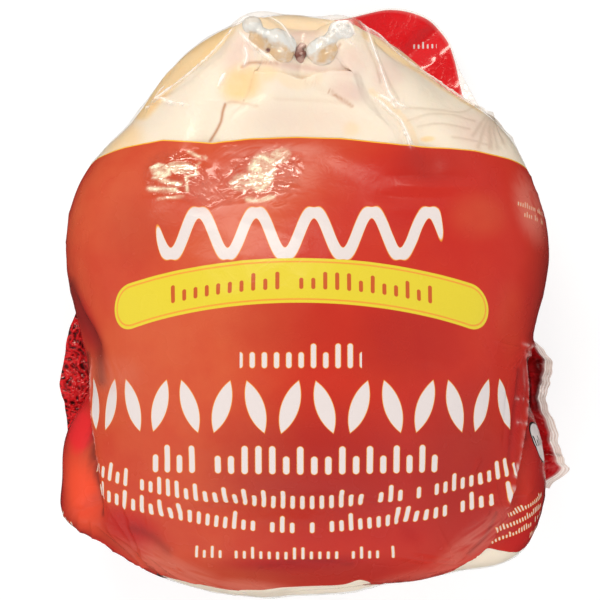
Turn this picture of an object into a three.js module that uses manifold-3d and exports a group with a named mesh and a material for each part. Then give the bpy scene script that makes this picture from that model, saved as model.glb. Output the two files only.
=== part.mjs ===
// A whole raw chicken, sealed in a shrink bag and lying on its back with the breast up.
// The film is drawn tight over the bird, so the sealed pack is one solid: the bird's outer form with the
// film bridging its hollows, and the loose film of the bag standing out from it at three places.
// Millimetres. X runs across the bird, +Y towards its legs, +Z up out of the breast. The origin is the
// middle of the flat patch on which the pack rests.

import * as THREE from "three";
import { mergeVertices } from "three/addons/utils/BufferGeometryUtils.js";
import Module from "manifold-3d";

// Driving dimensions.
const packLength = 234; // neck end to hocks
const packWidth = 196; // wing to wing
const packHeight = 117; // table to breast
const filmSpan = 9; // how far the tight film bridges the hollow between two large forms
const closeSpan = 2.5; // the same at the small bones, where it clings
const filmColour = 0xc63a24;
const bodyDetail = 17; // each side of an icosahedron's face is cut in one more than this
const looseFilm = 1.4; // thickness of the folded, loose film

// Every place and radius below is a share of these three, in the order X, Y, Z.
const reach = new THREE.Vector3(packWidth / 2, packLength / 2, packHeight);
const heart = new THREE.Vector3(0, 0, 0.43 * packHeight); // all of the tight film is seen from here
const inMillimetres = (share) => new THREE.Vector3(...share).multiply(reach);

// The bird's rounded masses: middle, radii, and turn about Z in degrees.
const masses = {
  breast: { at: [0, -0.18, 0.565], radii: [0.82, 0.69, 0.427], turn: 0 },
  back: { at: [-0.004, -0.055, 0.36], radii: [0.845, 0.85, 0.376], turn: 0 },
  pelvis: { at: [-0.057, 0.592, 0.376], radii: [0.582, 0.395, 0.342], turn: 0 },
  leftThigh: { at: [-0.612, 0.211, 0.427], radii: [0.334, 0.35, 0.342], turn: 14 },
  rightThigh: { at: [0.547, 0.228, 0.427], radii: [0.357, 0.435, 0.342], turn: -11 },
  leftWing: { at: [-0.589, -0.633, 0.376], radii: [0.436, 0.214, 0.29], turn: -33 },
  leftWingTip: { at: [-0.913, -0.7, 0.37], radii: [0.061, 0.035, 0.12], turn: 13 },
  rightWing: { at: [0.755, -0.595, 0.376], radii: [0.212, 0.278, 0.29], turn: 4 },
  neckEnd: { at: [0.016, -0.715, 0.427], radii: [0.75, 0.265, 0.325], turn: 0 },
};

// The drumsticks taper from the knee to the hock.
const drumsticks = {
  left: { knee: [-0.579, 0.147, 0.53], hock: [-0.19, 0.843, 0.684], kneeRadius: 26, hockRadius: 13 },
  right: { knee: [0.656, 0.162, 0.53], hock: [0.143, 0.825, 0.684], kneeRadius: 26, hockRadius: 13 },
};

// The bare ends of the two leg bones, each an outer and an inner knuckle.
const knuckles = {
  leftOuter: { at: [-0.21, 0.918, 0.74], radii: [0.052, 0.042, 0.06], turn: 45 },
  leftInner: { at: [-0.115, 0.863, 0.745], radii: [0.085, 0.068, 0.072], turn: -40 },
  rightOuter: { at: [0.128, 0.909, 0.735], radii: [0.055, 0.045, 0.06], turn: -45 },
  rightInner: { at: [0.03, 0.833, 0.74], radii: [0.08, 0.066, 0.07], turn: 40 },
};

// Creases of the film, each along a smooth path over the top of the pack: height, below zero for a
// valley, and half width in millimetres.
const creases = {
  leftSideValley: { path: [[-0.91, -0.2], [-0.9, -0.42], [-0.86, -0.7]], height: -4, width: 4 },
  rightSideValley: { path: [[0.92, -0.24], [0.92, -0.41], [0.85, -0.66]], height: -3.5, width: 3.5 },
  neckSag: { path: [[-0.62, -0.78], [-0.1, -0.66], [0.42, -0.76]], height: -2, width: 8 },
  legValleyLeft: { path: [[-0.2, 0.74], [-0.37, 0.66], [-0.42, 0.5]], height: -2.5, width: 6 },
  legValleyRight: { path: [[0.24, 0.72], [0.4, 0.62], [0.5, 0.48]], height: -2.5, width: 6 },
  ventHollow: { path: [[-0.03, 0.9], [-0.025, 0.82]], height: -5, width: 5 },
  leftTent: { path: [[-0.24, 0.93], [-0.4, 0.79], [-0.62, 0.65]], height: 2.5, width: 3.5 },
  rightTent: { path: [[0.18, 0.92], [0.44, 0.78], [0.72, 0.62]], height: 3, width: 3.5 },
};

// Distance to an ellipsoid, near enough close to its surface.
function toMass(point, { at, radii, turn }) {
  const size = inMillimetres(radii);
  const local = point.clone().sub(inMillimetres(at));
  local.applyAxisAngle(new THREE.Vector3(0, 0, 1), THREE.MathUtils.degToRad(-turn));
  const scaled = local.clone().divide(size).length();
  const slope = local.divide(size).divide(size).length();
  return (scaled * (scaled - 1)) / Math.max(slope, 1e-6);
}

function toDrumstick(point, { knee, hock, kneeRadius, hockRadius }) {
  const from = inMillimetres(knee);
  const along = inMillimetres(hock).sub(from);
  const share = THREE.MathUtils.clamp(point.clone().sub(from).dot(along) / along.lengthSq(), 0, 1);
  const radius = THREE.MathUtils.lerp(kneeRadius, hockRadius, share);
  return point.distanceTo(from.addScaledVector(along, share)) - radius;
}

// One smooth skin round several distances, bridging the hollows between them.
const bridged = (distances, span) =>
  -span * Math.log(distances.reduce((sum, distance) => sum + Math.exp(-distance / span), 0));

function toFilm(point) {
  const large = [
    ...Object.values(masses).map((mass) => toMass(point, mass)),
    ...Object.values(drumsticks).map((drumstick) => toDrumstick(point, drumstick)),
  ];
  const small = Object.values(knuckles).map((knuckle) => toMass(point, knuckle));
  return bridged([bridged(large, filmSpan), ...small], closeSpan);
}

// How far along a ray the tight film lies.
function filmAlong(start, direction, near, far) {
  let inside = near;
  let outside = far;
  for (let step = 0; step < 20; step++) {
    const middle = (inside + outside) / 2;
    if (toFilm(start.clone().addScaledVector(direction, middle)) < 0) inside = middle;
    else outside = middle;
  }
  return (inside + outside) / 2;
}

// A crease's path, laid on the film from above as a chain of points.
function laidOnTop({ path }) {
  const samples = 10;
  const plan = path.map(([x, y]) => new THREE.Vector3(x * reach.x, y * reach.y, 0));
  return new THREE.CatmullRomCurve3(plan).getPoints(samples).map((place) => {
    const start = place.setZ(heart.z);
    const lift = filmAlong(start, new THREE.Vector3(0, 0, 1), 0, packHeight);
    return start.clone().setZ(heart.z + lift);
  });
}
const creaseLines = Object.values(creases).map((crease) => ({ ...crease, line: laidOnTop(crease) }));

function toLine(point, line) {
  const nearest = new THREE.Vector3();
  const piece = new THREE.Line3();
  let least = Infinity;
  for (let i = 1; i < line.length; i++) {
    piece.set(line[i - 1], line[i]).closestPointToPoint(point, true, nearest);
    least = Math.min(least, nearest.distanceTo(point));
  }
  return least;
}

// Where the film lies in one direction from the heart, flat where it meets the table.
function onFilm(direction) {
  const radius = filmAlong(heart, direction, packHeight / 8, packLength);
  const point = heart.clone().addScaledVector(direction, radius);
  const relief = creaseLines.reduce(
    (sum, { line, height, width }) => sum + height * Math.exp(-((toLine(point, line) / width) ** 2)),
    0,
  );
  point.addScaledVector(direction, relief);
  if (point.z < 0) point.copy(heart).addScaledVector(direction, -heart.z / direction.z);
  return point;
}

const wasm = await Module();
wasm.setup();

function solidFrom(geometry) {
  geometry.deleteAttribute("normal");
  geometry.deleteAttribute("uv");
  const merged = mergeVertices(geometry, 1e-3);
  return new wasm.Manifold(
    new wasm.Mesh({
      numProp: 3,
      vertProperties: merged.attributes.position.array,
      triVerts: new Uint32Array(merged.index.array),
    }),
  );
}

function geometryFrom(solid) {
  const { numProp, vertProperties, triVerts } = solid.getMesh();
  const geometry = new THREE.BufferGeometry();
  geometry.setAttribute("position", new THREE.BufferAttribute(vertProperties, numProp));
  geometry.setIndex(new THREE.BufferAttribute(triVerts, 1));
  geometry.computeVertexNormals();
  return geometry;
}

function tightFilm() {
  const geometry = new THREE.IcosahedronGeometry(1, bodyDetail);
  const places = geometry.attributes.position;
  const direction = new THREE.Vector3();
  for (let i = 0; i < places.count; i++) {
    direction.fromBufferAttribute(places, i).normalize();
    places.setXYZ(i, ...onFilm(direction));
  }
  return solidFrom(geometry);
}

// A sheet of loose film as a closed solid. place(u, v) is its middle surface, with u and v from 0 to 1.
function looseSheet(place, alongSteps, acrossSteps, thickness) {
  const small = 1e-3;
  const sides = [1, -1].map((side) => {
    const rows = [];
    for (let i = 0; i <= alongSteps; i++) {
      for (let j = 0; j <= acrossSteps; j++) {
        const [u, v] = [i / alongSteps, j / acrossSteps];
        const point = place(u, v);
        const along = place(u + small, v).sub(place(u - small, v));
        const across = place(u, v + small).sub(place(u, v - small));
        const normal = along.cross(across).normalize();
        rows.push(point.addScaledVector(normal, (side * thickness) / 2));
      }
    }
    return rows;
  });
  const points = sides.flat();
  const at = (side, i, j) => side * sides[0].length + i * (acrossSteps + 1) + j;
  const faces = [];
  const quad = (a, b, c, d) => faces.push(a, b, c, a, c, d);
  for (let i = 0; i < alongSteps; i++) {
    for (let j = 0; j < acrossSteps; j++) {
      quad(at(0, i, j), at(0, i + 1, j), at(0, i + 1, j + 1), at(0, i, j + 1));
      quad(at(1, i, j), at(1, i, j + 1), at(1, i + 1, j + 1), at(1, i + 1, j));
    }
  }
  for (let i = 0; i < alongSteps; i++) {
    quad(at(0, i, 0), at(1, i, 0), at(1, i + 1, 0), at(0, i + 1, 0));
    quad(at(0, i, acrossSteps), at(0, i + 1, acrossSteps), at(1, i + 1, acrossSteps), at(1, i, acrossSteps));
  }
  for (let j = 0; j < acrossSteps; j++) {
    quad(at(0, 0, j), at(0, 0, j + 1), at(1, 0, j + 1), at(1, 0, j));
    quad(at(0, alongSteps, j), at(1, alongSteps, j), at(1, alongSteps, j + 1), at(0, alongSteps, j + 1));
  }
  const geometry = new THREE.BufferGeometry().setFromPoints(points);
  geometry.setIndex(faces);
  return solidFrom(geometry);
}

const curve = (points) => new THREE.CatmullRomCurve3(points.map((point) => new THREE.Vector3(...point)));

// A sheet between a root inside the pack and a free edge, with its ruffles growing towards the edge.
function between(root, edge, ruffle) {
  return (u, v) => {
    const start = root.getPoint(THREE.MathUtils.clamp(u, 0, 1));
    const end = edge.getPoint(THREE.MathUtils.clamp(u, 0, 1));
    return start.lerp(end, v).add(ruffle(u, v));
  };
}

// The bag's end beyond its seal, swept back under the legs and lying out on the table, with one fold.
function bagTail() {
  const root = curve([[-14, 84, 20], [8, 80, 18], [30, 70, 18], [50, 58, 20]]);
  const edge = curve([
    [-4, 117, 22], [15, 118.5, 14], [35, 123, 9], [50, 119.5, 8], [58.5, 110.5, 9], [63.5, 97, 11], [72, 80, 18],
  ]);
  const fold = { at: 0.6, width: 0.06, depth: 4 };
  const ruffle = (u, v) => {
    const valley = fold.depth * Math.exp(-(((u - fold.at + 0.17 * (1 - v)) / fold.width) ** 2));
    return new THREE.Vector3(0, 0, v * (1.6 * Math.sin(9 * u + 1) - valley));
  };
  return looseSheet(between(root, edge, ruffle), 26, 9, looseFilm);
}

// Pleats that are never quite alike: a slow wave, its spacing drifting, with a quicker one on top.
const pleats = (u, count) =>
  Math.sin(2 * Math.PI * count * u + 1.6 * Math.sin(7 * u)) + 0.45 * Math.sin(4.3 * Math.PI * count * u + 2);

// Surplus film gathered at the left side, between the thigh and the wing.
function leftGather() {
  const root = curve([[-76, 6, 38], [-76, -18, 37], [-76, -40, 36], [-78, -56, 36]]);
  const edge = curve([
    [-90, 2, 46], [-95.5, -8, 43], [-98.5, -21, 40], [-100.4, -33, 37], [-98.3, -43, 36], [-97, -54, 38],
  ]);
  const ruffle = (u, v) => new THREE.Vector3(0.3 * v * pleats(u, 5), 0, 1.6 * v * pleats(u, 4));
  return looseSheet(between(root, edge, ruffle), 50, 5, 2 * looseFilm);
}

// The bag's heat-sealed end, standing out along the right side in ruffles.
function rightSeal() {
  const root = curve([[78, -10, 36], [80, -30, 34], [80, -54, 33], [80, -72, 34]]);
  const edge = curve([
    [91.5, -15, 48], [98.3, -21.5, 45], [99.3, -29.5, 42], [97.2, -36, 41], [99, -44, 40], [102, -54, 39],
    [104, -62, 38], [106.3, -68, 37.5], [98, -75, 37],
  ]);
  const ruffle = (u, v) => new THREE.Vector3(0.5 * v * pleats(u, 6), 0, 2 * v * pleats(u, 4));
  return looseSheet(between(root, edge, ruffle), 50, 5, looseFilm);
}

const pack = tightFilm().add(bagTail()).add(leftGather()).add(rightSeal());
const material = new THREE.MeshStandardMaterial({ color: filmColour, roughness: 0.3, metalness: 0 });
const mesh = new THREE.Mesh(geometryFrom(pack), material);
mesh.name = "bagged_chicken";

const object = new THREE.Group();
object.add(mesh);
export default object;
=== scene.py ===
"""A whole raw chicken in a printed shrink bag, lying on its back with the breast up.

The bird is modelled as flesh and skin, with the bare ends of its leg bones. The film is one closed skin
drawn over it: clear over the legs and the neck end, printed in between. The loose film at the bag's tail
and at both sides is thin sheet. Shapes are worked out in millimetres for the standard pack and scaled to
the sizes in the panel when they are written to a mesh.
"""

import math
from collections import namedtuple

import bpy
import numpy as np
from mathutils import Matrix, Vector, noise


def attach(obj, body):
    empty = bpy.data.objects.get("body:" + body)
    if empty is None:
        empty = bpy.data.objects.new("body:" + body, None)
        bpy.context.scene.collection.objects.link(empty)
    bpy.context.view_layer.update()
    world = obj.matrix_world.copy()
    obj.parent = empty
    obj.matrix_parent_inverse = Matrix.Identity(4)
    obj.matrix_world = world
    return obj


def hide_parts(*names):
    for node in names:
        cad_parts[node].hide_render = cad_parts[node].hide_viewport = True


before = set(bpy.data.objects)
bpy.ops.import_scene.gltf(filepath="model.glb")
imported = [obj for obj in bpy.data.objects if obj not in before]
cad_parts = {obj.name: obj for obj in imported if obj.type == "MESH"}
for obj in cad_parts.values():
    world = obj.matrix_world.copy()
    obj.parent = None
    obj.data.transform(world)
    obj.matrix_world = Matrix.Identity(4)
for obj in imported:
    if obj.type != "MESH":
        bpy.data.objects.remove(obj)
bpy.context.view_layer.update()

bl_info = {
    "name": "Shrink bagged chicken",
    "version": (1, 0, 0),
    "blender": (4, 5, 0),
    "location": "View3D > Sidebar > Poultry",
    "description": "A whole raw chicken in a printed shrink bag",
    "category": "Add Mesh",
}

# ---------------------------------------------------------------------------------------------------------
# The pack's form, in millimetres: X across the bird, +Y towards the legs, +Z up out of the breast.

STANDARD = np.array([196.0, 234.0, 117.0])  # width, length and height of the standard pack
REACH = STANDARD * (0.5, 0.5, 1.0)
HEART = np.array([0.0, 0.0, 0.43 * STANDARD[2]])  # all of the tight film is seen from here
FILM_SPAN = 9.0  # how far the tight film bridges the hollow between two large forms
CLOSE_SPAN = 2.5  # the same at the small bones, where it clings

# Heights above the table between which each of these sets in.
FOLDS_FROM = (30, 55)  # the film's small folds
GLINT_LINES_FROM = (30, 50)
TINTS_FROM = (35, 50)  # the differences in the ink
FRONT_FROM = (26, 34)  # the front's artwork
CLING_FROM = (50, 75)  # the film's cling to the skin
WINDOW_FROM = (50, 65)  # the skin's own folds and colours, seen through the clear film
SIDE_FAT_FROM = (12, 50)
# Heights between which each of these ends.
SIDES_UP_TO = (35, 75)  # the coarse crinkles of the sides
SLACK_UP_TO = (40, 65)

# Middle and radii as shares of the reach, and turn about Z in degrees.
MASSES = {
    "breast": ((0, -0.18, 0.565), (0.82, 0.69, 0.427), 0),
    "back": ((-0.004, -0.055, 0.36), (0.845, 0.85, 0.376), 0),
    "pelvis": ((-0.057, 0.592, 0.376), (0.582, 0.395, 0.342), 0),
    "left_thigh": ((-0.612, 0.211, 0.427), (0.334, 0.35, 0.342), 14),
    "right_thigh": ((0.547, 0.228, 0.427), (0.357, 0.435, 0.342), -11),
    "left_wing": ((-0.589, -0.633, 0.376), (0.436, 0.214, 0.29), -33),
    "left_wing_tip": ((-0.913, -0.7, 0.37), (0.061, 0.035, 0.12), 13),
    "right_wing": ((0.755, -0.595, 0.376), (0.212, 0.278, 0.29), 4),
    "neck_end": ((0.016, -0.715, 0.427), (0.75, 0.265, 0.325), 0),
}
# Knee, hock, and the radius at each.
DRUMSTICKS = {
    "left": ((-0.579, 0.147, 0.53), (-0.19, 0.843, 0.684), 26.0, 13.0),
    "right": ((0.656, 0.162, 0.53), (0.143, 0.825, 0.684), 26.0, 13.0),
}
# The two knuckles at the end of each leg bone.
KNUCKLES = {
    "left_outer": ((-0.21, 0.918, 0.74), (0.052, 0.042, 0.06), 45),
    "left_inner": ((-0.115, 0.863, 0.745), (0.085, 0.068, 0.072), -40),
    "right_outer": ((0.128, 0.909, 0.735), (0.055, 0.045, 0.06), -45),
    "right_inner": ((0.03, 0.833, 0.74), (0.08, 0.066, 0.07), 40),
}

Fold = namedtuple("Fold", "path height width sharpness", defaults=[1.0])
# The large creases of the tight film, in plan. A height below zero is a valley.
LARGE_FOLDS = [
    Fold([(-89.2, -23.4), (-88.2, -49.1), (-84.3, -81.9)], -4.0, 4.0, 2.0),
    Fold([(90.2, -28.1), (90.2, -48), (83.3, -77.2)], -3.5, 3.5, 2.0),
    Fold([(-61, -91), (-10, -77), (41, -89)], -2.0, 8.0, 2.0),
    Fold([(-20, 87), (-36, 77), (-41, 59)], -2.5, 6.0, 2.0),
    Fold([(24, 84), (39, 73), (49, 56)], -2.5, 6.0, 2.0),
    Fold([(-3, 105), (-2.5, 96)], -5.0, 5.0, 2.0),
    Fold([(-24, 109), (-39, 92), (-61, 76)], 2.5, 3.5, 2.0),
    Fold([(18, 108), (43, 91), (71, 73)], 3.0, 3.5, 2.0),
    Fold([(0, -118), (14, -117), (30, -115)], -3.6, 11.0, 2.0),
    Fold([(6, 117), (12, 116.5), (20, 115)], -5.0, 5.5, 2.0),
]
# Sharp tension lines in the clear film over the legs: the left ones, then the right ones.
TENSION_LINES = [
    Fold([(-22.3, 111), (-26.2, 107.2), (-33.3, 98.9), (-43.5, 89.3), (-47.4, 86.2), (-61.9, 80.4)],
         1.5, 0.9),
    Fold([(-23.9, 112.3), (-28.2, 108.4), (-36.5, 97.5)], 0.5, 0.7),
    Fold([(-26.2, 104.6), (-19.9, 99.6), (-12.5, 94.1)], 0.9, 0.7),
    Fold([(-24.6, 100.9), (-23.4, 96.6), (-25, 92.7)], 0.5, 0.6),
    Fold([(-35.2, 84.7), (-33.6, 87.8), (-31.7, 90.5)], 0.7, 0.7),
    Fold([(-34.4, 86.7), (-32.4, 89.4)], 0.5, 0.5),
    Fold([(-15.3, 112.6), (-9.4, 108.9), (-5.8, 105)], 0.5, 0.6),
    Fold([(-17.6, 112), (-12.9, 109.6), (-8.3, 105.6)], 0.4, 0.5),
    Fold([(19, 108), (23.5, 104.2), (33.6, 99.4), (41.5, 95), (48.7, 90.6), (58, 84.6), (68, 79.6)],
         1.3, 0.8),
    Fold([(48, 90), (52, 87.8), (57.8, 84), (63.9, 80), (68, 77.2), (71.4, 75.6)], 1.6, 1.0),
    Fold([(20.8, 107.2), (26.3, 98.1), (29.2, 90.6), (32.3, 83.5), (35.8, 79.7), (40.2, 77.6)], 0.5, 0.45),
    Fold([(39, 78), (46.9, 76.4), (53, 76.1), (60.4, 75.7), (67, 77)], 0.35, 0.4),
    Fold([(23.2, 105.9), (26.9, 98.6), (30, 91.4), (33.1, 85.2), (36.3, 80.9)], 0.4, 0.4),
    Fold([(19.2, 107.9), (23, 100.7), (26.1, 94.5), (28.8, 87.4)], 0.4, 0.4),
    Fold([(8.9, 105.2), (12, 109.4), (15.5, 108), (19, 102.9)], 0.8, 0.6),
    Fold([(40.2, 73.4), (48.1, 74.4), (57, 74.4), (66.4, 72.4)], 0.3, 0.45),
    Fold([(44.1, 70.7), (54, 70.6), (64.1, 68.9)], 0.25, 0.45),
    Fold([(56.7, 65.4), (63.9, 64.4), (72, 62.3)], 0.25, 0.45),
]
# The printed front ends in a sharp crest at both sides. A knot of film tops the right one.
CRESTS = [
    Fold([(85.5, -18.2), (87.4, -27.1), (88, -34), (87.4, -40.6), (86.5, -47.2), (84, -59.6), (81.1, -69.7),
          (78, -80.4)], 1.2, 0.9),
    Fold([(-85.3, -21), (-85.8, -34), (-85.4, -46), (-86, -58), (-84.3, -68)], 1.1, 0.9),
    Fold([(84, -15.5), (88.5, -16.5), (92, -15)], 2.0, 1.6, 1.2),
    Fold([(85, -19), (89, -20.5), (91, -18)], 1.2, 1.0, 1.2),
    Fold([(82.1, -37.5), (87.3, -37.5)], 0.5, 0.5),
    Fold([(82.5, -46.6), (86.5, -47)], 0.5, 0.5),
    Fold([(83.6, -59.6), (80.7, -69.3), (78.4, -80)], 0.5, 1.4, 1.2),
]
# Broad soft waves where the film lies slack, and the groove under the left thigh.
SLACK_WAVES = [
    Fold([(-92.7, 4.4), (-89.3, -4.7), (-85.4, -10.6), (-81.1, -20.4)], -1.5, 2.8, 1.6),
    Fold([(-62, -85), (-26, -79), (9, -76), (28, -79), (44, -84)], -0.9, 2.5, 1.5),
    Fold([(-40, -88), (-20, -84), (5, -84)], 0.5, 2.0, 1.5),
    Fold([(30, 50), (50, 50.5), (68, 49)], -0.7, 1.6, 1.5),
    Fold([(34, 46), (52, 45), (70, 46)], 0.7, 1.6, 1.5),
    Fold([(26, 42.5), (40, 41.5), (58, 42)], -0.5, 1.8, 1.5),
    Fold([(22, 40), (40, 36), (58, 37)], 0.4, 2.4, 1.5),
    Fold([(83.8, -24), (82.5, -38), (80.3, -53.5), (79, -65)], -0.6, 1.5, 1.5),
    Fold([(78.9, -29.8), (78.2, -41.7), (77, -57.3)], -0.4, 1.2, 1.5),
    Fold([(34.2, -84), (40.2, -89), (46.3, -94.6)], -0.9, 2.0, 1.5),
    Fold([(36.5, -100.6), (44.6, -103), (54.6, -101)], -0.7, 1.6, 1.5),
    Fold([(76.4, -81.5), (72, -93.7), (62.2, -104)], 1.2, 1.6, 1.3),
]
# Long folds that fan out from the corner of the bag under the left wing.
CORNER_FOLDS = [
    Fold([(-64, -107), (-68.5, -99.9), (-75.1, -93.7), (-79.7, -88)], 1.0, 1.1, 1.2),
    Fold([(-61, -106), (-63.9, -99.9), (-67.6, -92.4), (-70.6, -85.9)], 0.8, 1.0, 1.2),
    Fold([(-57, -110), (-62.3, -101.6), (-69.4, -95.5), (-78.1, -89.6)], 1.0, 1.2, 1.2),
    Fold([(-42.7, -112.4), (-52.5, -107.7), (-60.3, -101.4), (-66.1, -95.3)], 0.8, 1.2, 1.2),
]


def local_to(points, at, turn):
    """Points as seen from a mass at its middle, turned about Z."""
    offset = points - np.array(at) * REACH
    angle = math.radians(turn)
    x = offset[..., 0] * math.cos(angle) + offset[..., 1] * math.sin(angle)
    y = offset[..., 1] * math.cos(angle) - offset[..., 0] * math.sin(angle)
    return np.stack([x, y, offset[..., 2]], -1)


def to_mass(points, mass):
    """Distance to an ellipsoid, near enough close to its surface."""
    at, radii, turn = mass
    size = np.array(radii) * REACH
    local = local_to(points, at, turn)
    scaled = np.linalg.norm(local / size, axis=-1)
    slope = np.linalg.norm(local / size**2, axis=-1)
    return scaled * (scaled - 1) / np.maximum(slope, 1e-6)


def to_drumstick(points, drumstick):
    knee, hock, knee_radius, hock_radius = drumstick
    start, end = np.array(knee) * REACH, np.array(hock) * REACH
    along = end - start
    share = np.clip((points - start) @ along / (along @ along), 0, 1)
    axis = start + share[..., None] * along
    return np.linalg.norm(points - axis, axis=-1) - (knee_radius + share * (hock_radius - knee_radius))


def bridged(distances, span):
    """One smooth skin round several distances, bridging the hollows between them."""
    return -span * np.log(sum(np.exp(-np.clip(d, -60, 300) / span) for d in distances))


def to_flesh(points):
    """The distances from points to each of the bird's large forms."""
    masses = [to_mass(points, mass) for mass in MASSES.values()]
    return masses + [to_drumstick(points, drumstick) for drumstick in DRUMSTICKS.values()]


def to_film(points):
    large = bridged(to_flesh(points), FILM_SPAN)
    return bridged([large] + [to_mass(points, knuckle) for knuckle in KNUCKLES.values()], CLOSE_SPAN)


def film_along(starts, directions, near, far):
    """How far along each ray the tight film lies. near is inside it and far outside."""
    inside, outside = np.full(len(directions), float(near)), np.full(len(directions), float(far))
    for _ in range(18):
        middle = (inside + outside) / 2
        within = to_film(starts + middle[:, None] * directions) < 0
        inside, outside = np.where(within, middle, inside), np.where(within, outside, middle)
    return (inside + outside) / 2


def from_heart(points):
    """The directions of points from the heart, and how far off they are."""
    offset = points - HEART
    distance = np.linalg.norm(offset, axis=1)
    return offset / distance[:, None], distance


def film_distance(directions):
    """How far the plain tight film is from the heart in each direction, flat where it meets the table."""
    distance = film_along(HEART, directions, STANDARD[2] / 8, STANDARD[1])
    down = directions[:, 2] < -0.05
    distance[down] = np.minimum(distance[down], -HEART[2] / directions[down, 2])
    return distance


def film_top(plan):
    """Where the film lies straight above each place in plan, or its widest line where it is past that."""
    plan = np.array(plan, float)
    starts = np.column_stack([plan, np.full(len(plan), HEART[2])])
    over = to_film(starts) < 0
    starts[over, 2] += film_along(starts[over], np.tile([0.0, 0.0, 1.0], (over.sum(), 1)), 0, 100)
    return starts


def smooth_path(points, step=2.5):
    """A smooth path through points, with a place about every step millimetres."""
    points = np.array(points, float)
    padded = np.vstack([2 * points[0] - points[1], points, 2 * points[-1] - points[-2]])
    places = []
    for a, b, c, d in zip(padded, padded[1:], padded[2:], padded[3:]):
        count = max(2, int(np.linalg.norm(c - b) / step))
        for t in np.arange(count) / count:
            bend = (c - a) * t + (2 * a - 5 * b + 4 * c - d) * t**2 + (3 * b - a - 3 * c + d) * t**3
            places.append(b + bend / 2)
    return np.array(places + [points[-1]])


def laid_on_film(folds):
    """Each fold with its path laid on the film from above."""
    paths = [smooth_path(fold.path) for fold in folds]
    ends = np.cumsum([len(path) for path in paths])[:-1]
    return list(zip(folds, np.split(film_top(np.vstack(paths)), ends)))


def to_line(points, line):
    """The least distance from each point to a polyline, and how far along it that is, 0 to 1."""
    best, share = np.full(len(points), np.inf), np.zeros(len(points))
    pieces = len(line) - 1
    for i in range(pieces):
        start, along = line[i], line[i + 1] - line[i]
        t = np.clip((points - start) @ along / max(along @ along, 1e-9), 0, 1)
        distance = np.linalg.norm(points - start - t[:, None] * along, axis=1)
        nearer = distance < best
        best[nearer] = distance[nearer]
        share[nearer] = (i + t[nearer]) / pieces
    return best, share


def near_line(points, line, reach):
    return np.all((points > line.min(0) - reach) & (points < line.max(0) + reach), axis=1)


def fold_relief(points, laid):
    """How far laid folds raise or sink each point of the film."""
    relief = np.zeros(len(points))
    for fold, line in laid:
        near = near_line(points, line, fold.width * (6 if fold.sharpness < 1.5 else 3.5))
        if not near.any():
            continue
        distance, share = to_line(points[near], line)
        profile = np.exp(-((distance / fold.width) ** fold.sharpness))
        if fold.sharpness < 2:
            profile *= np.clip(5 * np.minimum(share, 1 - share) + 0.15, 0, 1)
        relief[near] += fold.height * profile
    return relief


def fan(centre, angles, count, length, height, width, seed):
    """Wrinkles that spread from a pinch in the film. angles are the first and last, in degrees."""
    random = np.random.default_rng(seed)
    folds = []
    for angle in np.linspace(*np.radians(angles), count):
        angle += random.normal(0, 0.05)
        run = length * random.uniform(0.55, 1.1)
        bend = random.normal(0, 0.12)
        start = np.array(centre) + 1.5 * np.array([math.cos(angle), math.sin(angle)])
        middle = start + run / 2 * np.array([math.cos(angle + bend), math.sin(angle + bend)])
        end = middle + run / 2 * np.array([math.cos(angle + 2 * bend), math.sin(angle + 2 * bend)])
        folds.append(Fold([start, middle, end], height * random.uniform(0.6, 1.2), width, 1.2))
    return folds


def strewn(low, high, angle, spread, count, length, height, width, seed):
    """Short wrinkles strewn over a patch of the film, from its low to its high corner in plan."""
    random = np.random.default_rng(seed)
    folds = []
    for _ in range(count):
        middle = random.uniform(low, high)
        turn = math.radians(random.normal(angle, spread))
        arm = length * random.uniform(0.5, 1.2) / 2 * np.array([math.cos(turn), math.sin(turn)])
        side = random.normal(0, 0.15) * np.array([-arm[1], arm[0]])
        rise, breadth = height * random.uniform(0.5, 1.2), width * random.uniform(0.7, 1.3)
        folds.append(Fold([middle - arm, middle + side, middle + arm], rise, breadth, 1.4))
    return folds


LEFT_PINCH_LINES = [
    Fold([(-61.9, 80.4), (-56, 82.9), (-51.3, 83.3)], 0.9, 0.7),
    Fold([(-61.9, 80.2), (-53.7, 78.7), (-45.9, 77.9)], 0.9, 0.8),
    Fold([(-64.8, 78), (-62.6, 78.5), (-61.1, 77)], 0.8, 0.6),
    Fold([(-61.5, 81), (-58.9, 85), (-56.5, 87)], 0.5, 0.6),
]
SKIN_FOLD_LINES = [  # the soft fold down from the right drumstick's end
    Fold([(25.3, 83.4), (30, 80), (33.1, 76.9), (36.6, 74.2), (38.6, 70.7), (40.5, 65.6), (42.8, 62.4)],
         0.6, 1.0),
    Fold([(26.8, 84.2), (32.3, 81.2), (35.4, 78.1)], 0.5, 0.7),
    Fold([(38, 69), (39.5, 65), (41, 61.5)], 0.5, 0.6),
]
ARC_WRINKLES = [  # thin arcs between the two loose patches
    Fold([(-42.7, 49.4), (-41, 45.6), (-38.9, 42.8)], 0.5, 0.5, 1.2),
    Fold([(-45.4, 45.3), (-42.7, 41.9), (-38.5, 40)], 0.5, 0.5, 1.2),
    Fold([(-35.2, 52.8), (-34.3, 50.3), (-33.1, 48.6)], 0.5, 0.5, 1.2),
    Fold([(-37.7, 49), (-35.2, 47.8), (-33.5, 46.5)], 0.45, 0.5, 1.2),
    Fold([(-29.8, 54.9), (-28.1, 52.4), (-26.8, 49.9)], 0.45, 0.5, 1.2),
]
PLEATS = fan((71, 77), (-120, -40), 9, 15, 0.9, 0.8, 2)  # below the pinch at the right thigh
KNOB_LINES = strewn((6, 101), (19, 110), 160, 22, 10, 7, 0.4, 0.4, 17)  # over the right leg's end


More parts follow.
